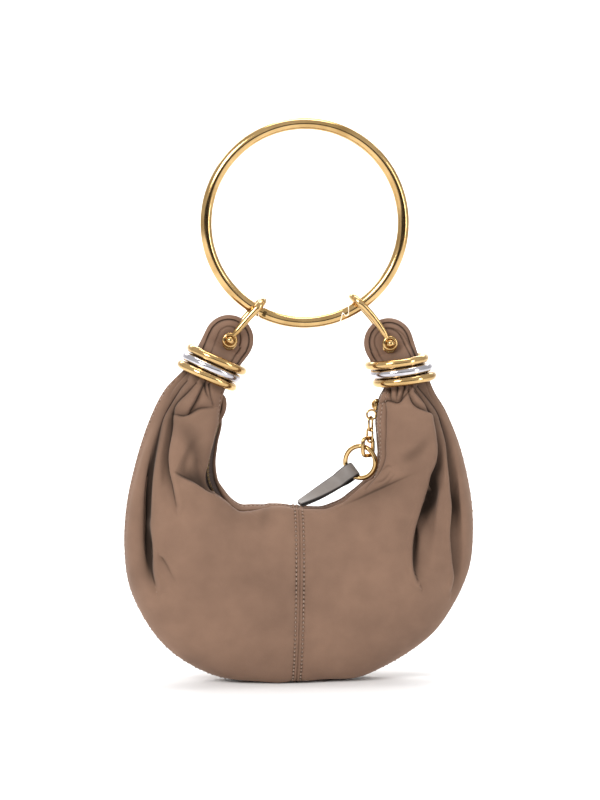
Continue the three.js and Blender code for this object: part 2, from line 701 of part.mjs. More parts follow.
// A closed round bar through points that lie in one plane.
function loopBar(points, radius, planeNormal, sides) {
  const count = points.length;
  const vertices = points.flatMap((point, i) => {
    const before = points[(i + count - 1) % count];
    const after = points[(i + 1) % count];
    const across = after.clone().sub(before).cross(planeNormal).normalize();
    return Array.from({ length: sides }, (_, j) => {
      const turn = (2 * Math.PI * j) / sides;
      return point
        .clone()
        .addScaledVector(across, radius * Math.cos(turn))
        .addScaledVector(planeNormal, radius * Math.sin(turn));
    });
  });
  const triangles = [];
  for (let i = 0; i < count; i++)
    for (let j = 0; j < sides; j++) {
      const next = (i + 1) % count;
      const up = (j + 1) % sides;
      triangles.push(...quad(i * sides + j, i * sides + up, next * sides + up, next * sides + j));
    }
  return closedBody(vertices, triangles);
}

// An oval link that hangs upright in its own plane, turned about the vertical.
function ovalLink(x, y, topWireZ, turn) {
  const planeNormal = vector(-Math.sin(turn), Math.cos(turn), 0);
  const across = vector(Math.cos(turn), Math.sin(turn), 0);
  const bend = linkWidth / 2 - linkWire;
  const straight = linkLength / 2 - linkWidth / 2;
  const centre = vector(x, y, topWireZ - linkLength / 2 + linkWire);
  const steps = 14;
  const points = Array.from({ length: steps }, (_, i) => {
    const angle = (2 * Math.PI * (i + 0.5)) / steps;
    return centre
      .clone()
      .addScaledVector(across, bend * Math.cos(angle))
      .add(vector(0, 0, bend * Math.sin(angle) + straight * Math.sign(Math.sin(angle))));
  });
  return loopBar(points, linkWire, planeNormal, 6);
}

// A flat frame with a square hole, turned about the vertical.
function squareLink(x, y, topZ, turn) {
  const halfWidth = squareLinkWidth / 2;
  const corner = squareLinkBar * 0.6;
  const outline = new THREE.Shape([
    new THREE.Vector2(-halfWidth + corner, 0),
    new THREE.Vector2(-halfWidth, -corner),
    new THREE.Vector2(-halfWidth, corner - squareLinkHeight),
    new THREE.Vector2(-halfWidth + corner, -squareLinkHeight),
    new THREE.Vector2(halfWidth - corner, -squareLinkHeight),
    new THREE.Vector2(halfWidth, corner - squareLinkHeight),
    new THREE.Vector2(halfWidth, -corner),
    new THREE.Vector2(halfWidth - corner, 0),
  ]);
  const holeX = halfWidth - squareLinkBar;
  const holeTop = -squareLinkBar;
  const holeBottom = squareLinkBar - squareLinkHeight;
  outline.holes.push(
    new THREE.Path([
      new THREE.Vector2(-holeX, holeTop),
      new THREE.Vector2(holeX, holeTop),
      new THREE.Vector2(holeX, holeBottom),
      new THREE.Vector2(-holeX, holeBottom),
    ]),
  );
  return new THREE.ExtrudeGeometry(outline, { depth: squareLinkThickness, bevelEnabled: false })
    .translate(0, 0, -squareLinkThickness / 2)
    .rotateX(Math.PI / 2)
    .rotateZ(turn)
    .translate(x, y, topZ);
}

// The slider rides on the teeth, with a bail that stands out from its lower end.
const sliderLine = zipLine(sliderPlace);
const outwards = sliderLine.down.clone().negate();
const downZip = vector(-outwards.z, 0, outwards.x);
const sliderTurn = Math.atan2(outwards.x, outwards.z);
const teethTop = teethHeight + gap - tapeGap;
const sliderBase = sliderLine.middle.clone().addScaledVector(outwards, teethTop + gap);
const bailCentre = sliderBase
  .clone()
  .addScaledVector(outwards, sliderHeight + bailWire)
  .addScaledVector(downZip, sliderLength / 2 + bailRadius - bailWire);
const sliderBody = box(sliderLength, sliderWidth, sliderHeight, 0, 0, sliderHeight / 2)
  .rotateY(sliderTurn)
  .translate(sliderBase.x, sliderBase.y, sliderBase.z);
const bail = new THREE.TorusGeometry(bailRadius, bailWire, 6, 14)
  .rotateX(Math.PI / 2)
  .translate(bailCentre.x, bailCentre.y, bailCentre.z);
add("zip_slider", geometryOf(solid(sliderBody).add(solid(bail))), gold);

// Each piece of the chain hangs in the one above it; flat pieces are turned about the vertical.
const level = (turn) => vector(Math.cos(turn), Math.sin(turn), 0);
const upperTurn = radians(56);
const lowerTurn = radians(-56);
const squareTurn = radians(34);
const pullTurn = radians(-28);
const upperTop = bailCentre.clone().add(vector(-0.5, 0, bailWire - bailRadius + linkWire + 1.5 * linkPlay));
const linkDrop = linkLength - 4 * linkWire - 1.5 * linkPlay;
const lowerTop = upperTop.clone().add(vector(-0.5, 0, -linkDrop));
const squareTop = lowerTop
  .clone()
  .addScaledVector(level(squareTurn), -1.7)
  .add(vector(0, 0, 3 * linkWire + 2.5 * linkPlay + squareLinkBar - linkLength));
const ringHold = squareTop
  .clone()
  .addScaledVector(level(squareTurn), -0.2)
  .add(vector(0, 0, squareLinkBar - squareLinkHeight + pullRingTube + 8.5 * linkPlay));
add("pull_link_upper", ovalLink(upperTop.x, upperTop.y, upperTop.z, upperTurn), gold);
add("pull_link_lower", ovalLink(lowerTop.x, lowerTop.y, lowerTop.z, lowerTurn), gold);
add("pull_square_link", merged(squareLink(squareTop.x, squareTop.y, squareTop.z, squareTurn)), gold);

// The pull ring leans away from the bag, so it hangs in the square link a little right of its own top.
const pullAxis = level(pullTurn);
const pullDrop = Math.sqrt(pullRingRadius ** 2 - pullRingShift ** 2);
const pullCentre = ringHold.clone().addScaledVector(pullAxis, -pullRingShift).add(vector(0, 0, -pullDrop));
const pullRing = new THREE.TorusGeometry(pullRingRadius, pullRingTube, 6, 18)
  .rotateX(Math.PI / 2)
  .rotateZ(pullTurn)
  .translate(pullCentre.x, pullCentre.y, pullCentre.z);
add("pull_ring", merged(pullRing), gold);

// The tag: a fold round the pull ring's lower left, and a doubled strap that runs down to lie over the zip.
function tag() {
  const foldAngle = radians(45);
  const foldCentre = pullCentre
    .clone()
    .addScaledVector(pullAxis, -pullRingRadius * Math.sin(foldAngle))
    .add(vector(0, 0, -pullRingRadius * Math.cos(foldAngle)));
  const rest = zipLine(tagEndPlace);
  const end = rest.middle.clone().addScaledVector(rest.down, -leatherWall - 2 * tagLayer - 2);
  const knee = foldCentre.clone().lerp(end, 0.6).add(vector(0, 0, -1.5));
  const path = new THREE.QuadraticBezierCurve3(foldCentre, knee, end);
  const foldWidthAxis = pullAxis
    .clone()
    .multiplyScalar(Math.cos(foldAngle))
    .add(vector(0, 0, -Math.sin(foldAngle)));
  const startTangent = path.getTangent(0);
  foldWidthAxis.addScaledVector(startTangent, -foldWidthAxis.dot(startTangent)).normalize();
  const steps = 8;
  const start = tagLoop / path.getLength();
  const rings = Array.from({ length: steps + 1 }, (_, i) => {
    const share = THREE.MathUtils.lerp(start, 1, i / steps);
    const tangent = path.getTangent(share);
    const width = foldWidthAxis.clone().lerp(vector(0, -1, 0), share);
    width.addScaledVector(tangent, -width.dot(tangent)).normalize();
    const normal = width.clone().cross(tangent);
    return [
      [1, 1],
      [-1, 1],
      [-1, -1],
      [1, -1],
    ].map(([a, b]) =>
      path
        .getPoint(share)
        .addScaledVector(width, (a * tagWidth) / 2)
        .addScaledVector(normal, b * tagLayer),
    );
  });
  const aim = new THREE.Quaternion().setFromUnitVectors(vector(0, 1, 0), foldWidthAxis);
  const tube = (radius, length) =>
    solid(
      new THREE.CylinderGeometry(radius, radius, length, 14)
        .applyQuaternion(aim)
        .translate(foldCentre.x, foldCentre.y, foldCentre.z),
    );
  return solid(loft(rings))
    .add(tube(tagLoop + tagLayer, tagWidth))
    .subtract(tube(tagLoop, 2 * tagWidth));
}

add("pull_tag", geometryOf(tag()), tagLeather);

export default bag;
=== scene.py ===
"""Looks of the ring handle bag: gathered nubuck leather, polished metal and a closed zip.

Lengths are in millimetres until a mesh is made. The frame has X to the right, Y away from the viewer and Z
up, and its origin is the inside of the ring's top.
"""
import json
import math

import bmesh
import bpy
import numpy as np
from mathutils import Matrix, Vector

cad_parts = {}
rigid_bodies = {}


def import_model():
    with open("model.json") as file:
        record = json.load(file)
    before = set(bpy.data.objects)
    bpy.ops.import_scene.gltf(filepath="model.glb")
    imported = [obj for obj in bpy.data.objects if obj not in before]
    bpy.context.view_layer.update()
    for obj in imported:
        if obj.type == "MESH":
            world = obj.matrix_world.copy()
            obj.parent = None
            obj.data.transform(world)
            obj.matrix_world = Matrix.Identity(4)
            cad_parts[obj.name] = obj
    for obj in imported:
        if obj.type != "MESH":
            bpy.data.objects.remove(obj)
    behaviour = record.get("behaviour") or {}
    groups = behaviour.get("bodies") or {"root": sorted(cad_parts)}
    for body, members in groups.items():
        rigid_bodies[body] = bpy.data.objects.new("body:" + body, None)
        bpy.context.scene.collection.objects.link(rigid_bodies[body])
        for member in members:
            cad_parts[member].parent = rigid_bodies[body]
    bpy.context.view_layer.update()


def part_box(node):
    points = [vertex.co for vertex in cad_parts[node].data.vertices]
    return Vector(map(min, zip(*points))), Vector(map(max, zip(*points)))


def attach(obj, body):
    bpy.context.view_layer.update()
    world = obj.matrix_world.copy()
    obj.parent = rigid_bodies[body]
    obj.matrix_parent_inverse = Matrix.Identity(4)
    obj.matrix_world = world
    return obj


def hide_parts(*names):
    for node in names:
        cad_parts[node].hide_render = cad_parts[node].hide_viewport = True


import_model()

METRE = 0.001

# The ring and its gate
RING_RADIUS = 65.2
RING_TUBE = 3.8
RING_CENTRE = RING_TUBE - RING_RADIUS
PIVOT_ANGLE = -24.6
CATCH_ANGLE = 23.2
HINGE_PIN = 1.9
HINGE_TONGUE = 2.6
GAP = 0.3
CATCH_GAP = 0.55
SEAM_GAP = 0.02

# The bows and collars
BOW_LENGTH = 29.0
CROWN_WIRE = 2.6
LEG_WIRE = 2.15
EYE_WIRE = 1.45
EYE_RADIUS = 3.7
LEG_SPREAD = 8.1
CROWN_CLEARANCE = 0.9
BOW_PIN = 1.9
BALL = 2.7
BUSHING = 4.9
BUSHING_DROP = 1.9
COLLAR_TUBE = 2.85
COLLAR_RADIUS = 18.65
COLLAR_GAP = 0.45
LOBE_RADIUS = 16.4
LOBE_HALF = 4.6
NECK_RADIUS = COLLAR_RADIUS - COLLAR_TUBE - 0.5

# The leather body and its zip
BAG_WIDTH = 231.5
BAG_HEIGHT = 200.2
BAG_DEPTH = 62.0
BAG_OFFSET = -3.6
WALL = 2.0
FOLD_DEPTH = 4.5
FOLD_WIDTH = 4.6
ZIP_OPENING = 7.0
ZIP_DIP = 8.0
ZIP_DIP_WIDTH = 9.0
SEAM_STATION = 10.0
LAST_STATION = 21.0

# Stitches: their pitch, then how far each row lies from the middle seam, the zip edge and the outer seam
STITCH_PITCH = 3.0
SEAM_STITCH = 2.5
HEM_STITCH = 5.2
OUTER_STITCH = 2.6

# The zip's pull
PULL_RING = 10.6
PULL_WIRE = 1.65
PULL_TURN = -28
STRAP_WIDTH = 10
STRAP_WALL = 1.4

# A pixel of the 600 by 800 picture at the bag
PIXEL = 0.66

# side, where the bow crosses the ring, its length as a share of BOW_LENGTH, its lean, the neck's lean, the
# collars' tilt, and how far below the pin the first collar lies, as a share of LOBE_RADIUS; angles in degrees
NECKS = {
    "left": (-1, -30.2, 0.917, 41.4, 31.4, 24.4, 0.927),
    "right": (1, 33.6, 1.083, 38.2, 23.9, 7.7, 0.829),
}

# outer seam x, z, zip edge x, z, depth, fullness, dip, turn to the front, as shares, from the left neck on
SECTIONS = np.array([
    (-0.772, 0.041, -0.44, 0.09, 0.58, 0.1, 0, 0),
    (-0.858, 0.14, -0.442, 0.153, 0.68, 0.3, 0, 0.3),
    (-0.932, 0.271, -0.47, 0.232, 0.79, 0.6, 0.1, 0.5),
    (-0.986, 0.413, -0.468, 0.311, 0.88, 0.8, 0.3, 0.5),
    (-1.0, 0.562, -0.412, 0.367, 0.94, 0.9, 0.6, 0.3),
    (-0.96, 0.707, -0.322, 0.412, 0.98, 1, 0.9, 0.1),
    (-0.812, 0.858, -0.242, 0.408, 1, 1, 1, 0),
    (-0.613, 0.952, -0.168, 0.402, 1, 1, 1, 0),
    (-0.339, 1.012, -0.088, 0.404, 1, 1, 1, 0),
    (-0.034, 1.03, -0.017, 0.408, 1, 1, 1, 0),
    (0.259, 1.012, 0.077, 0.412, 1, 1, 1, 0),
    (0.527, 0.952, 0.168, 0.408, 1, 1, 1, 0),
    (0.744, 0.865, 0.254, 0.386, 1, 1, 0.9, 0),
    (0.886, 0.759, 0.328, 0.35, 0.98, 1, 0.8, 0),
    (0.972, 0.644, 0.398, 0.316, 0.95, 0.9, 0.6, 0),
    (1.0, 0.509, 0.434, 0.268, 0.9, 0.8, 0.4, 0),
    (0.983, 0.384, 0.4355, 0.213, 0.82, 0.6, 0.25, 0),
    (0.926, 0.239, 0.429, 0.156, 0.72, 0.3, 0.1, 0),
    (0.846, 0.12, 0.4416, 0.097, 0.62, 0.15, 0, 0),
    (0.778, 0.054, 0.458, 0.0605, 0.53, 0, 0, 0),
])

# front or back, first and last station, height and depth at four even steps, width
FOLDS = [
    (1, 0, 6.6, (0.18, 0.2, 0.235, 0.19), (0.2, 0.7, 1, 0), 1),
    (1, 0, 5.4, (0.37, 0.3, 0.37, 0.52), (0.2, 0.6, 0.5, 0), 0.9),
    (1, 21, 13.5, (0.24, 0.24, 0.51, 0.33), (0.2, 0.6, 0.9, 0), 1.1),
    (1, 21, 13.8, (0.17, 0.14, 0.22, 0.06), (0.15, 0.5, 0.7, 0), 0.9),
    (-1, 0, 6, (0.25, 0.25, 0.3, 0.3), (0.2, 0.6, 0.7, 0), 1.1),
    (-1, 0, 4, (0.55, 0.5, 0.5, 0.55), (0.2, 0.5, 0.4, 0), 0.8),
    (-1, 21, 15, (0.25, 0.22, 0.28, 0.3), (0.2, 0.6, 0.7, 0), 1.1),
    (-1, 21, 17, (0.55, 0.5, 0.52, 0.5), (0.2, 0.5, 0.4, 0), 0.8),
]

# Creases of the leather, seen from the front. side: 1 where the sharp side is left of the way the path runs,
# -1 where it is right; sharp, soft: the valley's width on its sharp side and on the other; lift: how high the
# ridge beside it stands; back: its share on the back; deep: its depth at even steps; path: its line's x and z
CREASES = [
    {"side": 1, "sharp": 1.6, "soft": 8, "lift": 1.5, "back": 0.7,
     "deep": (1.5, 2.2, 3, 4.5, 7, 9, 7.5, 1),
     "path": [(-79.2, -163.4), (-83.9, -168.4), (-90, -177.5), (-94.9, -187), (-97.6, -198.2),
              (-100.3, -210.6), (-102, -219.4), (-103.6, -229.6), (-104.8, -239.9), (-105.5, -250.3),
              (-105.9, -258.3), (-104.6, -271), (-103.6, -286.7), (-101, -296)]},
    {"side": 1, "sharp": 1.1, "soft": 4.4, "lift": 0.9, "back": 0.8,
     "deep": (1.2, 2, 3, 3.8, 3.4, 0.8),
     "path": [(-72.9, -165.2), (-77.8, -170.3), (-86.1, -178.8), (-88.7, -186.1), (-90.4, -198.2),
              (-92.3, -210.4), (-92.4, -218.9), (-91.1, -226.5), (-89.3, -233.7), (-87.2, -244.2)]},
    {"side": -1, "sharp": 0.8, "soft": 4.5, "lift": 0.7, "back": 0,
     "deep": (0.3, 1.6, 3.2, 2.4, 0.8),
     "path": [(-89.2, -185), (-83.6, -185.7), (-78.1, -184.6), (-70.8, -181.3), (-62.3, -180.9)]},
    {"side": -1, "sharp": 1.1, "soft": 3.2, "lift": 0.4, "back": 0.5,
     "deep": (1.5, 2.6, 2.8, 1.2),
     "path": [(-67.8, -165.2), (-70.2, -170.3), (-73.5, -176.8), (-77.2, -182.1)]},
    {"side": 1, "sharp": 0.8, "soft": 1.2, "lift": 0.3, "back": 1,
     "deep": (1.5, 1.4, 0.3),
     "path": [(-67.4, -165.1), (-66, -171.4), (-63.9, -176.1)]},
    {"side": 1, "sharp": 0.7, "soft": 1.0, "lift": 0.2, "back": 0,
     "deep": (1.4, 1.2, 0.8),
     "path": [(-64.5, -165.9), (-63.4, -173), (-61.2, -179.5)]},
    {"side": -1, "sharp": 1.2, "soft": 13, "lift": 0.8, "back": 0,
     "deep": (0.2, 3.6, 4.8, 4.2, 2.8, 0.6),
     "path": [(-88.1, -221.9), (-81.1, -225.5), (-73.5, -228.7), (-65.1, -233.7), (-56.3, -238.1),
              (-47.5, -243.6)]},
    {"side": 1, "sharp": 3.2, "soft": 5, "lift": 0.5, "back": 0,
     "deep": (0.2, 1.2, 1.6, 0.8),
     "path": [(-73.7, -204.4), (-71.8, -211.4), (-69.1, -221.5), (-65, -230.9)]},
    {"side": 1, "sharp": 4, "soft": 4, "lift": 0, "back": 0,
     "deep": (0.4, 1.8, 1.2, 0.2),
     "path": [(-82.4, -223.3), (-80.4, -215.7), (-76.5, -208.1), (-71.7, -199.1)]},
    {"side": 1, "sharp": 0.9, "soft": 3.5, "lift": 0.5, "back": 0.5,
     "deep": (1.2, 0.9, 0.1),
     "path": [(-96.6, -278.2), (-93.2, -283.5), (-87.6, -294)]},
    {"side": 1, "sharp": 3.5, "soft": 6, "lift": 0, "back": 1,
     "deep": (1.0, 0.9, 0.1),
     "path": [(-26.8, -247), (-29.3, -254.9), (-31.1, -266)]},
    {"side": -1, "sharp": 1.2, "soft": 6.5, "lift": 1.3, "back": 0.7,
     "deep": (1.6, 1.6, 2.4, 5, 7.5, 7.5, 6, 1),
     "path": [(71.2, -171.4), (80.9, -182.4), (84.3, -189.8), (86, -200), (86.5, -210.5), (85.2, -218.7),
              (81.8, -226.7), (80.2, -235.3), (76.4, -246.4), (72.6, -255.9), (70.1, -265.5),
              (69, -274.8), (69.2, -287.2), (71.6, -295.7)]},
    {"side": -1, "sharp": 1.1, "soft": 5.5, "lift": 1.1, "back": 0.8,
     "deep": (1.4, 2, 3, 5, 7, 7, 4, 0.5),
     "path": [(75, -168.3), (82.9, -177.5), (88.3, -185.5), (91.2, -195.3), (93.2, -205.5), (93.8, -216),
              (94.2, -226.2), (95.1, -237.3), (96, -246.9), (95, -256.9), (94.4, -267.3), (96.1, -283.4),
              (98.2, -294.7), (95.9, -304.6)]},
    {"side": -1, "sharp": 0.8, "soft": 1.8, "lift": 0.4, "back": 0.8,
     "deep": (1.2, 1.4, 0.6),
     "path": [(72, -169.6), (77.6, -176.9), (81, -184.9)]},
    {"side": -1, "sharp": 0.7, "soft": 2.6, "lift": 0.5, "back": 0,
     "deep": (0.3, 1.6, 2, 2, 1),
     "path": [(48.1, -180.8), (52.5, -178), (56.1, -178.2), (60.3, -178.5), (67, -171.5)]},
    {"side": -1, "sharp": 0.8, "soft": 3.2, "lift": 0.8, "back": 0,
     "deep": (1.2, 2, 2.6, 2.2, 0.6),
     "path": [(67, -173.4), (68.9, -178), (71.8, -181.2), (78.2, -184.6), (83.3, -186.2)]},
    {"side": 1, "sharp": 1.1, "soft": 1.3, "lift": 0.4, "back": 1,
     "deep": (2.6, 2.2, 0.8),
     "path": [(54.9, -166), (54.9, -177)]},
    {"side": 1, "sharp": 0.9, "soft": 1.1, "lift": 0.4, "back": 1,
     "deep": (1.8, 1.6, 0.5),
     "path": [(60.1, -166), (58.6, -177)]},
    {"side": 1, "sharp": 0.9, "soft": 1.2, "lift": 0.4, "back": 1,
     "deep": (1.8, 1.8, 0.6),
     "path": [(65.2, -166), (61.6, -177.5)]},
    {"side": 1, "sharp": 1.5, "soft": 9, "lift": 0.3, "back": 0,
     "deep": (0.4, 1, 1.5, 1.7, 1.2, 0.2),
     "path": [(24.9, -246.2), (31.9, -242.9), (39.7, -238.8), (47.5, -234.7), (57.5, -229.9),
              (68.4, -225.1)]},
    {"side": 1, "sharp": 4, "soft": 5, "lift": 0, "back": 0.5,
     "deep": (0.4, 1.6, 1.8, 0.6),
     "path": [(60.3, -217.6), (65.4, -214.8), (73.3, -209.7), (78.9, -203.1)]},
    {"side": 1, "sharp": 0.6, "soft": 0.9, "lift": 0.2, "back": 0,
     "deep": (0.3, 0.6, 0.2),
     "path": [(45.2, -232.4), (50.3, -229.5), (54.1, -224.1)]},
    {"side": 1, "sharp": 0.6, "soft": 0.9, "lift": 0.2, "back": 0,
     "deep": (0.2, 0.5, 0.2),
     "path": [(47.5, -234), (52.5, -230.7), (56.5, -226)]},
    {"side": 1, "sharp": 0.6, "soft": 0.9, "lift": 0.2, "back": 0,
     "deep": (0.2, 0.5, 0.2),
     "path": [(49.8, -223.9), (52.9, -220.5), (54.8, -220.9)]},
    {"side": 1, "sharp": 0.7, "soft": 1.2, "lift": 0.5, "back": 0,
     "deep": (1, 1.3, 1.3, 1.3, 0.5),
     "path": [(52.3, -177.8), (51.3, -204.2), (50.9, -216.8), (46.4, -227.2), (38.8, -236.5)]},
    {"side": 1, "sharp": 8, "soft": 8, "lift": 0, "back": 0,
     "deep": (1.4, 2.3, 1.6),
     "path": [(-82, -192), (-76, -203), (-70, -214)]},
]

# How far the front's zip edge lies below the back's at each station, in millimetres, to show the zip
DROPS = (0, 0.4, 2.2, 4.6, 6, 6.2, 4.6, 2, 0, 0, 0, 0, 0, 0, 0, 0, 0, 0, 0, 0, 0, 0)


# Numbers and vectors


def vector(x, y, z):
    """A numpy vector of three numbers."""
    return np.array((x, y, z), float)


def unit(vectors):
    """Each vector over its own length."""
    return vectors / np.maximum(np.linalg.norm(vectors, axis=-1, keepdims=True), 1e-12)


def ease(start, end, value):
    """0 before start, 1 after end, and 3 t squared less 2 t cubed between them."""
    share = np.clip((value - start) / (end - start), 0, 1)
    return share * share * (3 - 2 * share)


def bump(distance, width):
    """A bell: e to the minus square of distance over width."""
    return np.exp(-((distance / width) ** 2))


def along(values, place):
    """A smooth curve through evenly spaced values: between b and c, with neighbours a and d, it is the cubic
    b + t/2 (c - a + t (2a - 5b + 4c - d + t (3 (b - c) + d - a)))."""
    values = np.asarray(values, float)
    last = len(values) - 1
    step = np.clip(np.floor(place).astype(int), 0, last - 1)
    t = place - step
    a, b, c, d = (values[np.clip(step + k, 0, last)] for k in (-1, 0, 1, 2))
    return b + t / 2 * (c - a + t * (2 * a - 5 * b + 4 * c - d + t * (3 * (b - c) + d - a)))


def arc_lengths(points):
    """Length from the first point to each point, along the first axis."""
    steps = np.linalg.norm(np.diff(points, axis=0), axis=-1)
    return np.concatenate([np.zeros((1,) + steps.shape[1:]), np.cumsum(steps, axis=0)])


def spread_along(points, spacing, others=()):
    """Points at an even spacing along a line of points, with other vectors carried to the same places."""
    length = arc_lengths(points)
    places = np.arange(spacing / 2, length[-1], spacing)
    pick = lambda rows: np.stack([np.interp(places, length, rows[:, k]) for k in range(3)], -1)
    return [pick(rows) for rows in (points, *others)]


# Meshes


def grid_faces(rows, columns, around=False, closed=False, start=0):
    """Quads between neighbouring points of a grid; around joins the last column to the first, closed the last
    row to the first."""
    i = np.arange(rows if closed else rows - 1)[:, None]
    j = np.arange(columns if around else columns - 1)[None, :]
    up, right = (i + 1) % rows, (j + 1) % columns
    corners = [i * columns + j, i * columns + right, up * columns + right, up * columns + j]
    return start + np.stack(np.broadcast_arrays(*corners), -1).reshape(-1, 4)


def make(name, parts, finish, body, stands_for=(), sharp=40, values=None):
    """One object from a list of (points, faces), its normals turned outwards, with values as attributes."""
    points, faces, start = [], [], 0
    for part_points, part_faces in parts:
        flat = np.asarray(part_points, float).reshape(-1, 3)
        points.append(flat)
        faces.extend([tuple(int(v) + start for v in face) for face in part_faces])
        start += len(flat)
    mesh = bpy.data.meshes.new(name)
    mesh.from_pydata((np.concatenate(points) * METRE).tolist(), [], faces)
    for key, value in (values or {}).items():
        attribute = mesh.attributes.new(key, "FLOAT", "POINT")
        attribute.data.foreach_set("value", np.ascontiguousarray(value, np.float32).reshape(-1))
    work = bmesh.new()
    work.from_mesh(mesh)
    bmesh.ops.remove_doubles(work, verts=work.verts, dist=1e-7)
    bmesh.ops.recalc_face_normals(work, faces=work.faces)
    work.to_mesh(mesh)
    work.free()
    mesh.shade_smooth()
    mesh.set_sharp_from_angle(angle=math.radians(sharp))
    mesh.materials.append(finish)
    piece = bpy.data.objects.new(name, mesh)
    bpy.context.collection.objects.link(piece)
    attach(piece, body)
    if stands_for:
        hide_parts(*stands_for)
    return piece


def squared(values, power):
    """Values from -1 to 1 to a power that keeps their sign: below 1 it squares a circle's section."""
    return np.sign(values) * np.abs(values) ** power


def sweep(points, radii, across, upright, sides=24, closed=False, power=1.0):
    """A bar along points: each ring is point + radius (cos t to a power, across + sin t to it, upright)."""
    turn = np.linspace(0, 2 * np.pi, sides, endpoint=False)[:, None]
    radii = np.broadcast_to(np.asarray(radii, float), (len(points),))[:, None, None]
    wide, high = squared(np.cos(turn), power), squared(np.sin(turn), power)
    ring = wide * across[:, None, :] + high * upright[:, None, :]
    grid = points[:, None, :] + radii * ring
    faces = grid_faces(len(points), sides, around=True, closed=closed).tolist()
    if not closed:
        last = (len(points) - 1) * sides
        faces += [tuple(range(sides)), tuple(range(last, last + sides))]
    return grid, faces


def planar_sweep(points, radii, normal, sides=24, closed=False):
    """A round bar along a line that lies in the plane with this normal."""
    if closed:
        way = np.roll(points, -1, axis=0) - np.roll(points, 1, axis=0)
    else:
        way = np.gradient(points, axis=0)
    across = unit(np.cross(way, normal))
    upright = np.broadcast_to(unit(np.asarray(normal, float)), points.shape)
    return sweep(points, radii, across, upright, sides, closed)


def torus(centre, across, upright, radius, tube, steps=96, sides=24):
    """A ring: its middle line is centre + radius (cos t across + sin t upright)."""
    turn = np.linspace(0, 2 * np.pi, steps, endpoint=False)[:, None]
    line = centre + radius * (np.cos(turn) * across + np.sin(turn) * upright)
    return planar_sweep(line, tube, np.cross(across, upright), sides, closed=True)


def turned(centre, axis, profile, steps=40):
    """A turned shape about an axis: profile rows are (radius, distance along the axis)."""
    axis = unit(np.asarray(axis, float))
    first = unit(np.cross(axis, (0.31, 0.17, 0.93)))
    second = np.cross(axis, first)
    profile = np.asarray(profile, float)
    turn = np.linspace(0, 2 * np.pi, steps, endpoint=False)[None, :, None]
    radius, height = profile[:, 0, None, None], profile[:, 1, None, None]
    grid = centre + radius * (np.cos(turn) * first + np.sin(turn) * second) + height * axis
    faces = grid_faces(len(profile), steps, around=True).tolist()
    last = (len(profile) - 1) * steps
    faces += [tuple(range(steps)), tuple(range(last, last + steps))]
    return grid, faces


def ball(centre, radius, steps=28):
    """A ball as a turned half circle."""
    turn = np.linspace(0.06, np.pi - 0.06, 15)
    return turned(centre, (0, 1, 0), np.stack([radius * np.sin(turn), -radius * np.cos(turn)], -1), steps)


def plate(outline, depth):
    """A flat outline of (x, z) corners, thickened by depth along Y about the mid plane."""
    outline = np.asarray(outline, float)
    count = len(outline)
    layers = [np.insert(outline, 1, y, axis=1) for y in (-depth / 2, depth / 2)]
    faces = [tuple(range(count)), tuple(range(2 * count - 1, count - 1, -1))]
    faces += [(i, (i + 1) % count, count + (i + 1) % count, count + i) for i in range(count)]
    return np.stack(layers), faces


# Finishes


class Term:
    """A number that varies over a surface: sums and products of it add Math nodes."""

    def __init__(self, finish, socket):
        self.finish, self.socket = finish, socket

    def _math(self, operation, *terms):
        return self.finish.node("ShaderNodeMath", {"operation": operation}, dict(enumerate(terms)))

    def __add__(self, other):
        return self._math("ADD", self, other)

    def __mul__(self, other):
        return self._math("MULTIPLY", self, other)

    __radd__ = __add__
    __rmul__ = __mul__

    def within(self, low, high):
        """0 at low, 1 at high, and held there beyond them."""
        inputs = {"Value": self, "From Min": low, "From Max": high}
        return self.finish.node("ShaderNodeMapRange", {"clamp": True}, inputs)

    def wave(self):
        """Its sine."""
        return self._math("SINE", self)


class Finish:
    """A material: fixed numbers go straight on its shader, and node() adds any node and gives its output."""

    def __init__(self, name, colour, roughness, metallic=0.0, **fixed):
        self.material = bpy.data.materials.new(name)
        self.material.use_nodes = True
        self.tree = self.material.node_tree
        self.shader = self.tree.nodes["Principled BSDF"]
        fixed |= {"Base Color": (*colour, 1), "Roughness": roughness, "Metallic": metallic}
        for key, value in fixed.items():
            self.shader.inputs[key].default_value = value

    def put(self, value, place):
        """Link a varying value to a socket, or set a plain one there."""
        if isinstance(value, Term):
            self.tree.links.new(value.socket, place)
        elif isinstance(value, tuple) and len(value) == 3 and place.type == "RGBA":
            place.default_value = (*value, 1)
        elif value is not None:
            place.default_value = value

    def node(self, kind, settings=None, inputs=None, output=0):
        """Any node, with its settings and what its sockets hold."""
        made = self.tree.nodes.new(kind)
        for key, value in (settings or {}).items():
            setattr(made, key, value)
        for key, value in (inputs or {}).items():
            self.put(value, made.inputs[key])
        return Term(self, made.outputs[output])

    def coordinates(self):
        """Places in the object's own space, in metres."""
        return self.node("ShaderNodeTexCoord", output="Object")

    def noise(self, scale, detail=2.0, stretch=None):
        """Even noise in object space, with so many blobs to the metre; stretch squeezes it along an axis."""
        place = self.coordinates()
        if stretch:
            place = self.node("ShaderNodeMapping", None, {"Vector": place, "Scale": stretch})
        return self.node("ShaderNodeTexNoise", None, {"Vector": place, "Scale": scale, "Detail": detail})

    def attribute(self, name):
        """A number kept at each vertex."""
        return self.node("ShaderNodeAttribute", {"attribute_name": name}, output="Fac")

    def mix(self, share, first, second):
        """A colour between two colours, through the colour sockets of a Mix node."""
        return self.node("ShaderNodeMix", {"data_type": "RGBA"}, {0: share, 6: first, 7: second}, 2)

    def set(self, **terms):
        """Put varying terms on the shader's sockets, and give the finished material."""
        for key, value in terms.items():
            self.put(value, self.shader.inputs[key.replace("_", " ")])
        return self.material

    def relief(self, height, strength, distance):
        """Small relief from a height between 0 and 1, so many metres high."""
        inputs = {"Height": height, "Strength": strength, "Distance": distance}
        return self.node("ShaderNodeBump", None, inputs)


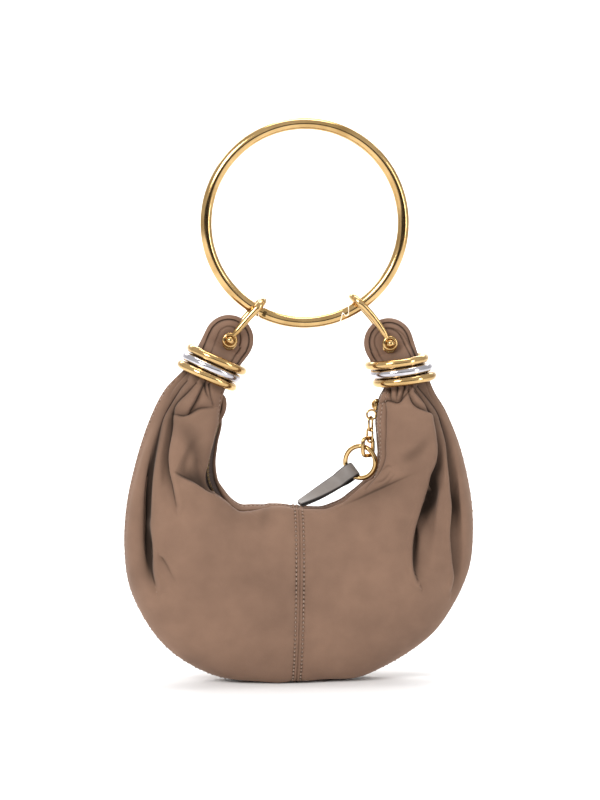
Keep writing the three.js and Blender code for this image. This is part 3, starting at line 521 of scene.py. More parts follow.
def nubuck():
    """Brushed leather: a fine nap and a cloudy tone, with painted shade that darkens it in the folds, creases
    and needle holes and along the seams.
    """
    sheen = {"Sheen Weight": 0.16, "Sheen Roughness": 0.5, "Sheen Tint": (0.9, 0.72, 0.6, 1)}
    look = Finish("nubuck", (0.2, 0.12, 0.085), 0.86, **sheen, **{"Specular IOR Level": 0.22})
    cloud = look.noise(16, 3.0)
    patch = look.noise(70, 2.0)
    nap = look.noise(1500, 2.0)
    tone = cloud.within(0.3, 0.7) * 0.55 + patch.within(0.3, 0.7) * 0.3 + nap * 0.3
    light = look.mix(tone, (0.16, 0.094, 0.064), (0.25, 0.149, 0.1))
    # The fold attribute holds painted shade: it mixes the colour towards near black.
    fold = look.attribute("fold")
    colour = look.mix(fold, light, (0.028, 0.016, 0.01))
    roughness = 0.8 + nap * 0.12
    grain = nap * 0.6 + look.noise(480, 3.0) * 0.4
    return look.set(Base_Color=colour, Roughness=roughness, Normal=look.relief(grain, 0.35, 0.0004))


def polished(name, dark, light, roughness=0.1):
    """Plated metal: a little haze in its polish and hardly any tone of its own."""
    look = Finish(name, light, roughness, 1.0)
    haze = look.noise(60, 3.0).within(0.35, 0.75)
    rub = look.noise(900, 2.0, (1, 1, 0.25))
    colour = look.mix(haze, light, dark)
    return look.set(
        Base_Color=colour,
        Roughness=roughness + haze * 0.07 + rub * 0.03,
        Normal=look.relief(rub, 0.05, 0.0001),
    )


def woven(name, dark, light):
    """Zip tape: a herringbone of threads in the piece's own millimetres along and across."""
    look = Finish(name, light, 0.82)
    warp = (look.attribute("along") * 4.2 + look.attribute("across") * 2.1).wave()
    weft = (look.attribute("across") * 8.0).wave()
    thread = (warp * weft).within(-1, 1)
    colour = look.mix(thread * 0.8 + look.noise(300) * 0.2, dark, light)
    return look.set(Base_Color=colour, Normal=look.relief(thread, 0.5, 0.0003))


def thread_finish():
    """Twisted thread, a little lighter than the leather."""
    look = Finish("thread", (0.26, 0.175, 0.13), 0.62)
    twist = look.noise(1400, 1.0, (1, 1, 0.5))
    colour = look.mix(twist, (0.2, 0.135, 0.1), (0.44, 0.32, 0.25))
    return look.set(Base_Color=colour, Normal=look.relief(twist, 0.3, 0.0002))


def strap_leather():
    """Smooth grey-brown leather with a fine pebble, dark edge paint, and the same dark as painted shade on
    the layer behind.
    """
    look = Finish("strap_leather", (0.2, 0.18, 0.165), 0.5)
    pebble = look.noise(900, 2.0)
    face = look.mix(look.noise(120, 2.0), (0.16, 0.138, 0.124), (0.225, 0.198, 0.18))
    # Where rim is high: dark edge paint on the edges, and painted shade over the whole layer behind.
    edge = look.attribute("rim").within(0.8, 0.93)
    normal = look.relief(pebble, 0.25, 0.0003)
    colour = look.mix(edge, face, (0.03, 0.026, 0.024))
    return look.set(Base_Color=colour, Roughness=0.46 + pebble * 0.12, Normal=normal)


LEATHER = nubuck()
GOLD = polished("gold_plate", (0.46, 0.28, 0.105), (0.7, 0.47, 0.21), 0.1)
SILVER = polished("silver_plate", (0.42, 0.4, 0.43), (0.68, 0.66, 0.7), 0.1)
TEETH = polished("zip_metal", (0.1, 0.065, 0.035), (0.24, 0.165, 0.09), 0.25)
TAPE = woven("zip_tape_weave", (0.035, 0.022, 0.018), (0.09, 0.06, 0.05))
THREAD = thread_finish()
STRAP = strap_leather()


# The bag's form


def on_ring(angle, radius=RING_RADIUS):
    """A point at an angle in degrees from the ring's lowest point, so far from its centre."""
    turn = math.radians(angle)
    return vector(radius * math.sin(turn), 0, RING_CENTRE - radius * math.cos(turn))


class Neck:
    """The places of one end of the bag, from the ring down through the pin and the collars."""

    def __init__(self, name, side, crossing, bow, bow_lean, lean, tilt, first):
        self.name, self.side = name, side
        bow_lean, lean, tilt = map(math.radians, (bow_lean, lean, tilt))
        self.crossing = on_ring(crossing)
        bow_down = vector(side * math.sin(bow_lean), 0, -math.cos(bow_lean))
        self.pin = self.crossing + bow_down * bow * BOW_LENGTH
        self.down = vector(side * math.sin(lean), 0, -math.cos(lean))
        self.outward = vector(side * math.cos(tilt), 0, math.sin(tilt))
        self.pitch = (2 * COLLAR_TUBE + COLLAR_GAP) / math.cos(lean - tilt)
        self.first = first * LOBE_RADIUS
        self.last = self.first + 2 * self.pitch
        self.exit = self.last + 0.62 * self.pitch

    def at(self, distance):
        """The place so far down the neck from the pin."""
        return self.pin + self.down * distance

    def section(self):
        """The leather's first station, a circle where it leaves the last collar."""
        centre = self.at(self.exit)
        outer, inner = centre + self.outward * NECK_RADIUS, centre - self.outward * NECK_RADIUS
        return (outer[0], outer[2], inner[0], inner[2], NECK_RADIUS, 0, 0, 0)


LEFT, RIGHT = (Neck(name, *row) for name, row in NECKS.items())
BODY_TOP = (LEFT.at(LEFT.last)[2] + RIGHT.at(RIGHT.last)[2]) / 2
FLOOR = BODY_TOP - BAG_HEIGHT
MIDDLE_ROWS = np.stack([
    BAG_OFFSET + SECTIONS[:, 0] * BAG_WIDTH / 2,
    BODY_TOP - SECTIONS[:, 1] * BAG_HEIGHT,
    BAG_OFFSET + SECTIONS[:, 2] * BAG_WIDTH / 2,
    BODY_TOP - SECTIONS[:, 3] * BAG_HEIGHT,
    SECTIONS[:, 4] * BAG_DEPTH / 2,
    SECTIONS[:, 5],
    SECTIONS[:, 6] * ZIP_DIP,
    SECTIONS[:, 7],
], -1)
STATIONS = np.vstack([LEFT.section(), MIDDLE_ROWS, RIGHT.section()])


def section_at(place):
    """The eight values of the section at each place along the bag."""
    return [along(STATIONS[:, k], place) for k in range(STATIONS.shape[1])]


def fold_at(place, height, length, sign):
    """How far the folds press the leather in: the sum of each fold's depth times a bell across it."""
    depth = np.zeros(np.broadcast(place, height).shape)
    for side, start, end, heights, depths, width in FOLDS:
        if side != sign:
            continue
        share = (place - start) / (end - start)
        away = (height - along(heights, 3 * share)) * length / (FOLD_WIDTH * width)
        pressed = FOLD_DEPTH * np.maximum(along(depths, 3 * share), 0) * np.exp(-(away**2))
        depth = depth + np.where((share < -0.1) | (share > 1), 0, pressed)
    return depth


def skin(place, turn, sign):
    """The outer skin. turn goes from 0 at the zip to pi at the outer seam, on the front where sign is 1.
    Across, y is the depth times sin t to a power below 1, less the folds. Up, a point lies at height
    (1 + cos t) / 2 between the outer seam and the zip, dipped or turned to the front near the zip, where
    DROPS lowers the front's edge. The lowest leather is rounded off to lie at FLOOR."""
    out_x, out_z, in_x, in_z, deep, full, dip, face = section_at(place)
    up = unit(np.stack([in_x - out_x, in_z - out_z], -1))
    length = np.hypot(in_x - out_x, in_z - out_z)
    height = (1 + np.cos(turn)) / 2
    bulge = deep * np.abs(np.sin(turn)) ** (1 - 0.22 * full)
    fold = fold_at(place, height, length, sign)
    y = -sign * np.maximum(bulge - fold, 0.2 * bulge)
    cap = np.maximum(2 * height - 1, 0) ** 2
    lift = face * y * bump(y, ZIP_OPENING) - dip * bump(y, ZIP_DIP_WIDTH)
    front_edge = ease(ZIP_OPENING / 2, -ZIP_OPENING / 2, y) * bump(np.minimum(y + ZIP_OPENING / 2, 0), 11)
    reach = height * length + cap * (lift - along(DROPS, place) * front_edge)
    x = out_x + up[..., 0] * reach
    z = out_z + up[..., 1] * reach
    soft = 1.2
    z = FLOOR + soft * np.logaddexp(0, (z - FLOOR) / soft)
    return np.stack([x, y, z], -1), fold


def turn_at(place, distance):
    """The turn near the zip at which the section is so far from its mid plane."""
    rows = section_at(place)
    return np.arcsin((distance / rows[4]) ** (1 / (1 - 0.22 * rows[5])))


def outward_normals(points, sign):
    """Normals of a grid of points, turned away from the mid plane."""
    normals = unit(np.cross(np.gradient(points, axis=0), np.gradient(points, axis=1)))
    middle = normals[normals.shape[0] // 2, normals.shape[1] // 2]
    return normals * (-sign * np.sign(middle[1]))


PANEL_COLUMNS = 200
LINING_STEP = 4


def panel_places(neck):
    """Rows from the seam down the middle to the neck, close together near the seam."""
    span = SEAM_STATION if neck.side < 0 else LAST_STATION - SEAM_STATION
    near = 0.4 * np.linspace(0, 1, 36, endpoint=False) ** 1.8
    return SEAM_STATION + neck.side * np.concatenate([near, np.linspace(0.4, span, 230)])


def from_path(x, z, path):
    """How far each point lies from a smooth path, above 0 on the left of the way it runs, and its share of
    the way."""
    path = np.asarray(path, float)
    place = np.linspace(0, len(path) - 1, 4 * len(path))
    line = np.stack([along(path[:, 0], place), along(path[:, 1], place)], -1)
    best = np.full(x.shape, np.inf)
    signed, share = np.zeros(x.shape), np.zeros(x.shape)
    for k, (start, step) in enumerate(zip(line, np.diff(line, axis=0))):
        across, up = x - start[0], z - start[1]
        part = np.clip((across * step[0] + up * step[1]) / (step @ step), 0, 1)
        away = np.hypot(across - part * step[0], up - part * step[1])
        turn = np.sign(step[0] * up - step[1] * across)
        nearer = away < best
        best = np.where(nearer, away, best)
        signed = np.where(nearer, away * turn, signed)
        share = np.where(nearer, (k + part) / (len(line) - 1), share)
    return signed, share


def creased(points, sign, neck):
    """How far the creases press the skin in, and how much painted shade darkens them. Each is its depth along
    the path, times a bell that is narrow on the sharp side and wide on the other, less the ridge beside it."""
    x, z = points[..., 0], points[..., 2]
    total, dark = np.zeros(x.shape), np.zeros(x.shape)
    for crease in CREASES:
        part = 1 if sign > 0 else crease["back"]
        if part == 0 or neck.side * crease["path"][0][0] < 0:
            continue
        away, share = from_path(x, z, crease["path"])
        away = away * crease["side"]
        deep = part * along(crease["deep"], share * (len(crease["deep"]) - 1))
        valley = np.where(away > 0, bump(away, 0.75 * crease["sharp"]), bump(away, crease["soft"]))
        ridge = bump(away - 1.8 * crease["sharp"] - 1.4, 2.2) * (away > 0)
        total = total + deep * valley - part * crease["lift"] * ridge * np.minimum(deep, 1)
        # Painted shade: a wide dark band over the valley, and a narrow dark line in it where the crease is
        # sharp.
        wide = np.where(away > 0, bump(away, crease["sharp"]), bump(away, 0.6 * crease["soft"]))
        crisp_painted_shade = 0.55 * ease(2.5, 1.5, crease["sharp"]) * np.clip(deep / 1.5, 0, 1)
        dark = dark + deep / 5 * wide + crisp_painted_shade * bump(away, 0.55)
    return total, dark


def pleats(neck, from_neck, turn, sign):
    """Gathers below the collars: sharp valleys at chosen turns that run out into the bag."""
    rows = {
        ("left", 1): [(1.6, 12, 0.8), (2.7, 22, 1.4)],
        ("left", -1): [(0.5, 20, 1.5), (0.9, 14, 1.6), (1.3, 26, 1.8), (1.9, 22, 1.6), (2.5, 20, 1.2)],
        ("right", 1): [(1.45, 10, 0.8), (2.6, 18, 1.2)],
        ("right", -1): [(0.5, 14, 1.6), (0.9, 14, 1.8), (1.3, 24, 1.8), (1.8, 22, 1.6), (2.5, 20, 1.2)],
    }[(neck.name, sign)]
    total = np.zeros(np.shape(turn))
    for place, reach, depth in rows:
        wander = place + 0.1 * np.sin(from_neck / 9 + 5 * place)
        total = total + depth * bump(from_neck, reach) * bump((turn - wander) * 15, 1.3 + from_neck * 0.04)
    return total


def undulation(points):
    """Slack in the leather: three crossed waves of 40 to 90 mm, of half a millimetre."""
    x, y, z = np.moveaxis(points, -1, 0)
    first = np.sin(0.105 * x + 0.06 * z + 0.05 * y + 0.6)
    second = np.sin(0.07 * z - 0.04 * x + 0.09 * y + 2.1)
    third = np.sin(0.155 * x - 0.11 * z + 1.1)
    return 0.5 * first + 0.5 * second + 0.25 * third


def line_across(field, value, *grids):
    """Where a field that grows along the first axis reaches a value, in each column of the grids."""
    upper = np.clip((field < value).sum(axis=0), 1, field.shape[0] - 1)[None, :]
    low = np.take_along_axis(field, upper - 1, 0)
    high = np.take_along_axis(field, upper, 0)
    share = np.clip((value - low) / np.maximum(high - low, 1e-9), 0, 1)[..., None]
    index = upper[..., None]
    pick = lambda grid, at: np.take_along_axis(grid, np.broadcast_to(at, (1, grid.shape[1], 3)), 0)
    return [(pick(g, index - 1) * (1 - share) + pick(g, index) * share)[0] for g in grids]


def needle_holes(away, width, way):
    """Dents in a row: a bell across the line, times half of 1 + cos along it to a power."""
    return bump(away, width) * (0.5 + 0.5 * np.cos(2 * np.pi * way / STITCH_PITCH)) ** 1.6


def leather_panel(neck, sign):
    """One of four leather panels: the skin and a layer 2 mm inside it, with a rolled edge along the zip."""
    place = panel_places(neck)[:, None]
    column = np.linspace(0, 1, PANEL_COLUMNS + 1)[None, :]
    at_zip = turn_at(place, ZIP_OPENING / 2 + 0.4)
    at_seam = np.pi - turn_at(place, SEAM_GAP / 2)
    turn = at_zip + (at_seam - at_zip) * column
    base, fold = skin(place, turn, sign)
    normals = outward_normals(base, sign)
    from_middle = arc_lengths(base)
    from_neck = from_middle[-1:] - from_middle
    from_zip = arc_lengths(np.swapaxes(base, 0, 1)).T
    from_outer = from_zip[:, -1:] - from_zip
    seam_way, hem_way = from_zip[:1], from_middle[:, :1]
    seam_holes = needle_holes(from_middle - SEAM_STITCH, 0.7, seam_way)
    hem_holes = needle_holes(from_zip - HEM_STITCH, 0.5, hem_way)
    outer_holes = needle_holes(from_outer - OUTER_STITCH, 0.45, hem_way)
    middle = 0.55 * bump(from_middle, 0.5) - 0.35 * bump(from_middle - 1.2, 0.7)
    middle = middle + 0.3 * bump(from_middle - 3, 1.6)
    outer = 1.1 * bump(from_outer, 0.8) - 0.3 * bump(from_outer - 1.6, 0.9)
    hem = 0.45 * bump(from_zip - HEM_STITCH, 0.7) + 0.4 * bump(from_zip, 1.6)
    pucker = 0.2 * np.sin(seam_way / 2.1) * bump(from_middle - 3, 5)
    pucker = pucker + 0.2 * np.sin(hem_way / 2.3) * bump(from_zip - 6, 5)
    gathers = pleats(neck, from_neck, turn, sign)
    pressed, dark = creased(base, sign, neck)
    clear = ease(0, 10, from_middle) * ease(0, 7, from_outer)
    slack = undulation(base) * ease(0, 14, from_middle) * ease(2, 12, from_zip) * ease(2, 12, from_outer)
    inset = middle + outer + 0.5 * (seam_holes + outer_holes)
    inset = inset + (hem + pucker + 0.4 * hem_holes) * ease(0, 3, from_neck)
    inset = inset + gathers + pressed * clear * ease(0, 4, from_zip) - slack
    outside = base - normals * inset[..., None]
    inside = (outside - normals * WALL)[:, ::LINING_STEP]
    for layer in (outside, inside):
        layer[..., 1] = -sign * np.maximum(-sign * layer[..., 1], SEAM_GAP / 2)
    tuck = neck.down * -np.array([1.6, 3.2])[:, None, None]
    outer_layer = np.concatenate([outside, outside[-1:] + tuck])
    lining = np.concatenate([inside, inside[-1:] + tuck])
    roll = rolled_edge(outer_layer[:, 0], lining[:, 0], outer_layer[:, 0] - outer_layer[:, 1])
    ring = np.concatenate([outer_layer, np.flip(lining, 1), roll], axis=1)
    # Painted shade, kept in the fold attribute: darker in creases, folds, gathers and needle holes, along the
    # seams, at the collars, and a fixed 0.3 on the rolled zip edge.
    shade = 0.9 * np.clip(dark, 0, 1) * clear
    shade = shade + 0.3 * np.clip(fold / 6, 0, 1) + 0.35 * np.clip(gathers / 2, 0, 1)
    shade = shade + 0.12 * bump(from_middle, 0.5) + 1.2 * seam_holes + 0.5 * (hem_holes + outer_holes)
    shade = shade + 0.25 * bump(from_outer, 0.8) + 0.35 * ease(5, 0, from_neck)
    shade = np.clip(np.concatenate([shade, np.repeat(shade[-1:], 2, axis=0)]), 0, 1)
    tone = np.concatenate([shade, np.flip(shade[:, ::LINING_STEP], 1), 0.3 + 0 * roll[..., 0]], axis=1)
    name = f"{'front' if sign > 0 else 'back'}_panel_{neck.name}"
    faces = panel_faces(ring.shape[0], ring.shape[1])
    make(f"leather_{name}", [(ring, faces)], LEATHER, "bag", [name], 60, {"fold": tone})
    turned_over = [np.swapaxes(grid, 0, 1) for grid in (outside, normals)]
    seam_row = line_across(from_middle, SEAM_STITCH, outside, normals)
    inwards = [np.flip(grid, 0) for grid in turned_over]
    outer_row = line_across(np.flip(from_outer, 1).T, OUTER_STITCH, *inwards)
    hem_row = line_across(from_zip.T, HEM_STITCH, *turned_over)
    return seam_row, [rows[:-14] for rows in hem_row], [rows[:-14] for rows in outer_row]


def panel_faces(rows, columns):
    """Faces round a grid of closed rows, and end caps between the outer layer and the coarser lining."""
    faces = grid_faces(rows, columns, around=True).tolist()
    lining = PANEL_COLUMNS + 1
    last = lining + PANEL_COLUMNS // LINING_STEP
    for row in (0, rows - 1):
        start = row * columns
        for k in range(PANEL_COLUMNS // LINING_STEP):
            outer = [start + LINING_STEP * k + j for j in range(LINING_STEP + 1)]
            faces.append((*outer, start + last - k - 1, start + last - k))
        faces.append((start, start + last, *range(start + last + 1, start + columns)))
    return faces


def rolled_edge(first, second, outwards):
    """Points on a half circle from the second line to the first, bulging outwards."""
    middle, half = (first + second) / 2, (first - second) / 2
    radius = np.linalg.norm(half, axis=-1, keepdims=True)
    outwards = unit(outwards - half * (outwards * half).sum(-1, keepdims=True) / radius**2)
    turn = np.linspace(0, np.pi, 7)[1:-1]
    rows = [middle - half * np.cos(t) + outwards * radius * np.sin(t) for t in turn]
    return np.stack(rows, axis=1)


def stitches(rows, spacing=STITCH_PITCH, length=1.8, thickness=0.36):
    """Thread between needle holes: short bars along a line, bent so that both ends dive into the leather."""
    points, normals = spread_along(rows[0], spacing, rows[1:])
    normals = unit(normals)
    way = unit(np.gradient(points, axis=0))
    side = np.cross(normals, way)
    place = np.linspace(-1, 1, 7)
    radius = thickness * np.sqrt(1.02 - place**2) ** 0.6
    turn = np.linspace(0, 2 * np.pi, 6, endpoint=False)
    ahead = np.repeat(place * length / 2, 6)
    beside = (radius[:, None] * np.cos(turn)).ravel()
    above = (radius[:, None] * np.sin(turn)).ravel() + np.repeat(0.16 - 0.42 * place**2, 6)
    grid = (points[:, None] + ahead[:, None] * way[:, None] + beside[:, None] * side[:, None]
            + above[:, None] * normals[:, None])
    one = grid_faces(7, 6, around=True)
    faces = (one[None] + 42 * np.arange(len(points))[:, None, None]).reshape(-1, 4).tolist()
    ends = [tuple(42 * i + k for k in cap) for i in range(len(points)) for cap in (range(6), range(36, 42))]
    return grid, faces + ends


stitch_rows = {"seam": [], "hem": [], "outer": []}
for neck in (LEFT, RIGHT):
    for sign in (1, -1):
        for rows, line in zip(stitch_rows.values(), leather_panel(neck, sign)):
            rows.append(stitches(line))
for key, rows in stitch_rows.items():
    make(f"{key}_stitches", rows, THREAD, "bag")


# The gathered ends

# Grooves round each lobe: how far from the pin, how deep, and how far they stray from round
LOBE_GROOVES = {
    "left": [(13.5, 1.3, 0), (8.3, 1.0, 0.5)],
    "right": [(13.4, 1.3, 0), (9.6, 0.9, 0.4), (11.3, 0.5, 1)],
}


def neck_leather(neck):
    """The leather folded over the pin: rows go down from the lobe's top, and round each row the half width
    times cos t and the half thickness times a rounded edge give a closed section."""
    top = np.linspace(0.02, np.pi / 2, 46)
    down = np.concatenate([-LOBE_RADIUS * np.cos(top), np.linspace(0.5, neck.last + 0.6, 60)])[:, None]
    turn = np.linspace(0, 2 * np.pi, 200, endpoint=False)[None, :]
    wide = np.where(down < 0, np.sqrt(np.maximum(LOBE_RADIUS**2 - down**2, 0)), LOBE_RADIUS)
    spread = ease(5, neck.first, down)
    wide = wide + (NECK_RADIUS - LOBE_RADIUS) * ease(0, neck.first - 2, down)
    across = wide * np.cos(turn)
    rim = np.where(down < 0, np.hypot(down, across) / LOBE_RADIUS, np.abs(across) / wide)
    power = 6 - 4 * spread
    thick = LOBE_HALF + (NECK_RADIUS - LOBE_HALF) * spread
    half = thick * np.sqrt(np.maximum(1 - np.clip(rim, 0, 1) ** power, 0))
    from_pin = rim * LOBE_RADIUS
    around = np.arctan2(down, across)
    groove = 0
    for radius, depth, stray in LOBE_GROOVES[neck.name]:
        away = from_pin + (0.3 + stray) * np.sin(1.7 * around + neck.side + 2 * stray) - radius
        side = 1 - 0.8 * stray * ease(-0.4, 0.8, -neck.side * np.cos(around))
        groove = groove + depth * side * np.where(away > 0, bump(away, 0.32), bump(away, 0.75))
    half = half - groove * np.minimum(half / 2, 1)
    half = np.maximum(half, 0) * np.sign(np.sin(turn))
    square = unit(np.cross(neck.down, (0, 1, 0)))
    square = square * np.sign(square @ neck.outward)
    axis = unit(square + (neck.outward - square) * spread[..., None])
    grid = neck.pin + neck.down * down[..., None] + axis * across[..., None]
    grid = grid + np.array([0, 1.0, 0]) * half[..., None]
    rows, columns = across.shape
    faces = grid_faces(rows, columns, around=True).tolist()
    faces += [tuple(range(columns)), tuple(range((rows - 1) * columns, rows * columns))]
    # Painted shade in the fold attribute: darker in the lobe's grooves, towards the collars and round the
    # pin.
    fold = np.clip(groove / 1.2, 0, 1) * 0.85 + 0.45 * ease(neck.first - 7, neck.first, down)
    fold = fold + 0.15 * bump(from_pin, 6)
    make(f"gathered_leather_{neck.name}", [(grid, faces)], LEATHER, "bag", [f"neck_loop_{neck.name}"],
         60, {"fold": np.clip(fold + 0 * across, 0, 1)})


for neck in (LEFT, RIGHT):
    neck_leather(neck)


# The bows, pins and collars


def bow(neck):
    """A bent bar: straight legs at a fixed spread, then a half turn that reaches past the ring by sin t."""
    reach_way = neck.crossing - neck.pin
    length = np.linalg.norm(reach_way)
    reach_way = reach_way / length
    crown_reach = RING_TUBE + CROWN_CLEARANCE + CROWN_WIRE
    share = np.linspace(0, 1, 14)[:-1]
    leg_reach = EYE_RADIUS + (length - EYE_RADIUS) * share
    leg_radius = EYE_WIRE + (LEG_WIRE - EYE_WIRE) * ease(0, 0.16, share)
    leg_radius = leg_radius + (CROWN_WIRE - LEG_WIRE) * share**2
    turn = np.linspace(0, np.pi, 33)
    reach = np.concatenate([leg_reach, length + crown_reach * np.sin(turn), leg_reach[::-1]])
    spread = np.concatenate([leg_reach * 0 + 1, np.cos(turn), leg_reach * 0 - 1]) * LEG_SPREAD
    radius = np.concatenate([leg_radius, turn * 0 + CROWN_WIRE, leg_radius[::-1]])
    outwards = unit(np.cross(reach_way, (0, 1, 0)))
    outwards = outwards * np.sign(outwards[2])
    curve = (0.5 if neck.side < 0 else 1.9) * np.sin(np.pi * np.clip(reach / (length + crown_reach), 0, 1))
    line = neck.pin + reach[:, None] * reach_way + curve[:, None] * outwards
    line = line + spread[:, None] * np.array([0, 1.0, 0])
    parts = [planar_sweep(line, radius, np.cross(reach_way, (0, 1, 0)), 24)]
    for side in (-1, 1):
        centre = neck.pin + vector(0, side * LEG_SPREAD, 0)
        parts.append(torus(centre, vector(1, 0, 0), vector(0, 0, 1), EYE_RADIUS, EYE_WIRE, 40, 18))
    make(f"bow_wire_{neck.name}", parts, GOLD, "bag", [f"bow_{neck.name}"], 50)


def bow_pin(neck):
    """A shaft with a ball at each end, and a faceted bushing beside the leather."""
    ball_place = LEG_SPREAD + math.sqrt((BALL + EYE_WIRE + GAP) ** 2 - EYE_RADIUS**2)
    axis = (0, 1, 0)
    parts = [turned(neck.pin, axis, [(BOW_PIN, -ball_place), (BOW_PIN, ball_place)], 24)]
    start, end = LOBE_HALF + GAP, LEG_SPREAD - EYE_WIRE - GAP
    for side in (-1, 1):
        parts.append(ball(neck.pin + vector(0, side * ball_place, 0), BALL))
        centre = neck.pin + vector(0, side * (start + end) / 2, -BUSHING_DROP)
        half = (end - start) / 2
        lower = [(BUSHING - 0.5, -half), (BUSHING, -half + 0.4)]
        profile = lower + [(radius, -height) for radius, height in reversed(lower)]
        parts.append(turned(centre, axis, profile, 8))
    make(f"bow_pin_ends_{neck.name}", parts, GOLD, "bag", [f"bow_pin_{neck.name}"], 30)


for neck in (LEFT, RIGHT):
    bow(neck)
    bow_pin(neck)
    for number, row in enumerate(("upper", "middle", "lower")):
        finish, slot = (SILVER, "silver") if row == "middle" else (GOLD, "gold")
        centre = neck.at(neck.first + number * neck.pitch)
        ring = torus(centre, neck.outward, vector(0, 1, 0), COLLAR_RADIUS, COLLAR_TUBE, 128, 28)
        node = f"collar_{neck.name}_{row}"
        make(f"collar_ring_{neck.name}_{row}", [ring], finish, "bag", [node])


# The ring and its gate

# The catch's step: along the ring and towards its centre, as shares of the tube's radius
CATCH_STEP = [(-1.15, -1), (-0.4, 0.25), (-0.1, 0.45), (0.15, -0.3), (0.6, -0.2), (0.8, 0.1)]


def bare(parts):
    """A bare mesh object for a cut."""
    mesh = bpy.data.meshes.new("cutter")
    points, faces = parts
    mesh.from_pydata(np.asarray(points).reshape(-1, 3).tolist(), [], [tuple(map(int, f)) for f in faces])
    work = bmesh.new()
    work.from_mesh(mesh)
    bmesh.ops.recalc_face_normals(work, faces=work.faces)
    bmesh.ops.triangulate(work, faces=work.faces)
    work.to_mesh(mesh)
    work.free()
    made = bpy.data.objects.new("cutter", mesh)
    bpy.context.collection.objects.link(made)
    return made


def joined(operation, first, second):
    """The two closed bodies added, cut or intersected, as a new body."""
    modifier = first.modifiers.new("cut", "BOOLEAN")
    modifier.operation, modifier.object, modifier.solver = operation, second, "MANIFOLD"
    found = first.evaluated_get(bpy.context.evaluated_depsgraph_get())
    mesh = bpy.data.meshes.new_from_object(found)
    first.modifiers.remove(modifier)
    made = bpy.data.objects.new("cutter", mesh)
    bpy.context.collection.objects.link(made)
    return made


def catch_wedge(right, down):
    """The wedge that the gate fills, from the pivot to the catch, with its step moved right and down."""
    far = 3 * RING_TUBE
    edge = [on_ring(CATCH_ANGLE + math.degrees(ahead * RING_TUBE / RING_RADIUS),
                    RING_RADIUS - inward * RING_TUBE) for ahead, inward in CATCH_STEP]
    shift = vector(right, 0, -down)
    span = CATCH_ANGLE - PIVOT_ANGLE
    corners = [on_ring(PIVOT_ANGLE + span * share, RING_RADIUS + far) for share in (0, 0.25, 0.5, 0.75)]
    corners.append(vector(edge[0][0] + right, 0, RING_CENTRE - RING_RADIUS - far))
    corners += [point + shift for point in edge]
    corners.append(edge[-1] + vector(right, 0, far))
    corners += [on_ring(CATCH_ANGLE, RING_RADIUS - far), on_ring(PIVOT_ANGLE, RING_RADIUS - far)]
    return bare(plate([(c[0], c[2]) for c in corners], 4 * RING_TUBE))


def ring_and_gate():
    """A smooth ring, cut along the catch's step and round the hinge, as two bodies."""
    pivot = on_ring(PIVOT_ANGLE)
    reach = 2 * RING_TUBE
    centre = vector(0, 0, RING_CENTRE)
    whole = bare(torus(centre, vector(1, 0, 0), vector(0, 0, 1), RING_RADIUS, RING_TUBE, 240, 40))
    drum = lambda radius: bare(turned(pivot, (0, 1, 0), [(radius, -reach), (radius, reach)], 48))
    around, cleared = drum(RING_TUBE), drum(RING_TUBE + GAP)
    slab = lambda depth: bare(plate([pivot[[0, 2]] + (x * reach, z * reach)
                                     for x, z in ((-1, -1), (1, -1), (1, 1), (-1, 1))], depth))
    slot = joined("INTERSECT", cleared, slab(HINGE_TONGUE + 2 * GAP))
    gate = joined("INTERSECT", whole, joined("UNION", catch_wedge(0, 0), around))
    gate = joined("DIFFERENCE", gate, slot)
    tongue = joined("INTERSECT", joined("INTERSECT", whole, around), slab(HINGE_TONGUE))
    ring = whole
    for right, down in ((CATCH_GAP, CATCH_GAP), (-CATCH_GAP, 0), (CATCH_GAP, 0), (0, CATCH_GAP)):
        ring = joined("DIFFERENCE", ring, catch_wedge(right, down))
    ring = joined("UNION", joined("DIFFERENCE", ring, cleared), tongue)
    return ring, gate


def finished_cut(name, made, nodes, body):
    """A body that the cuts made, as a finished gold piece."""
    mesh = made.data
    points = np.empty(len(mesh.vertices) * 3)
    mesh.vertices.foreach_get("co", points)
    faces = [tuple(face.vertices) for face in mesh.polygons]
    return make(name, [(points.reshape(-1, 3), faces)], GOLD, body, nodes, 25)


def ring_handle():
    """The ring, its gate, and a pin head with a small raised disc on each face."""
    ring, gate = ring_and_gate()
    finished_cut("ring_loop", ring, ["ring_handle"], "handle")
    finished_cut("ring_gate_arm", gate, ["ring_gate"], "gate")
    face = RING_TUBE + 0.15
    rim = face - 0.25
    step = [(0.01, -face), (HINGE_PIN * 0.62, -face), (HINGE_PIN * 0.66, -rim), (HINGE_PIN, -rim)]
    profile = step + [(radius, -height) for radius, height in reversed(step)]
    pin = turned(on_ring(PIVOT_ANGLE), (0, 1, 0), profile, 32)
    make("gate_pin_head", [pin], GOLD, "handle", ["gate_pin"])
    for piece in [o for o in bpy.data.objects if o.name.startswith("cutter")]:
        bpy.data.objects.remove(piece)


ring_handle()


# The zip


def zip_edges(place):
    """The panels' inner edges at each place, a line under each, and the way into the bag."""
    rows = section_at(place)
    down = np.stack([rows[0] - rows[2], 0 * place, rows[1] - rows[3]], -1)
    down = unit(down)
    edges, unders = [], []
    for sign in (1, -1):
        at_zip = turn_at(place, ZIP_OPENING / 2)
        edge, _ = skin(place, at_zip, sign)
        under, _ = skin(place, at_zip + 0.24, sign)
        edge, under = edge + down * WALL, under + down * WALL
        edges.append(edge)
        unders.append(edge + unit(under - edge) * 3.5)
    return edges, unders, down


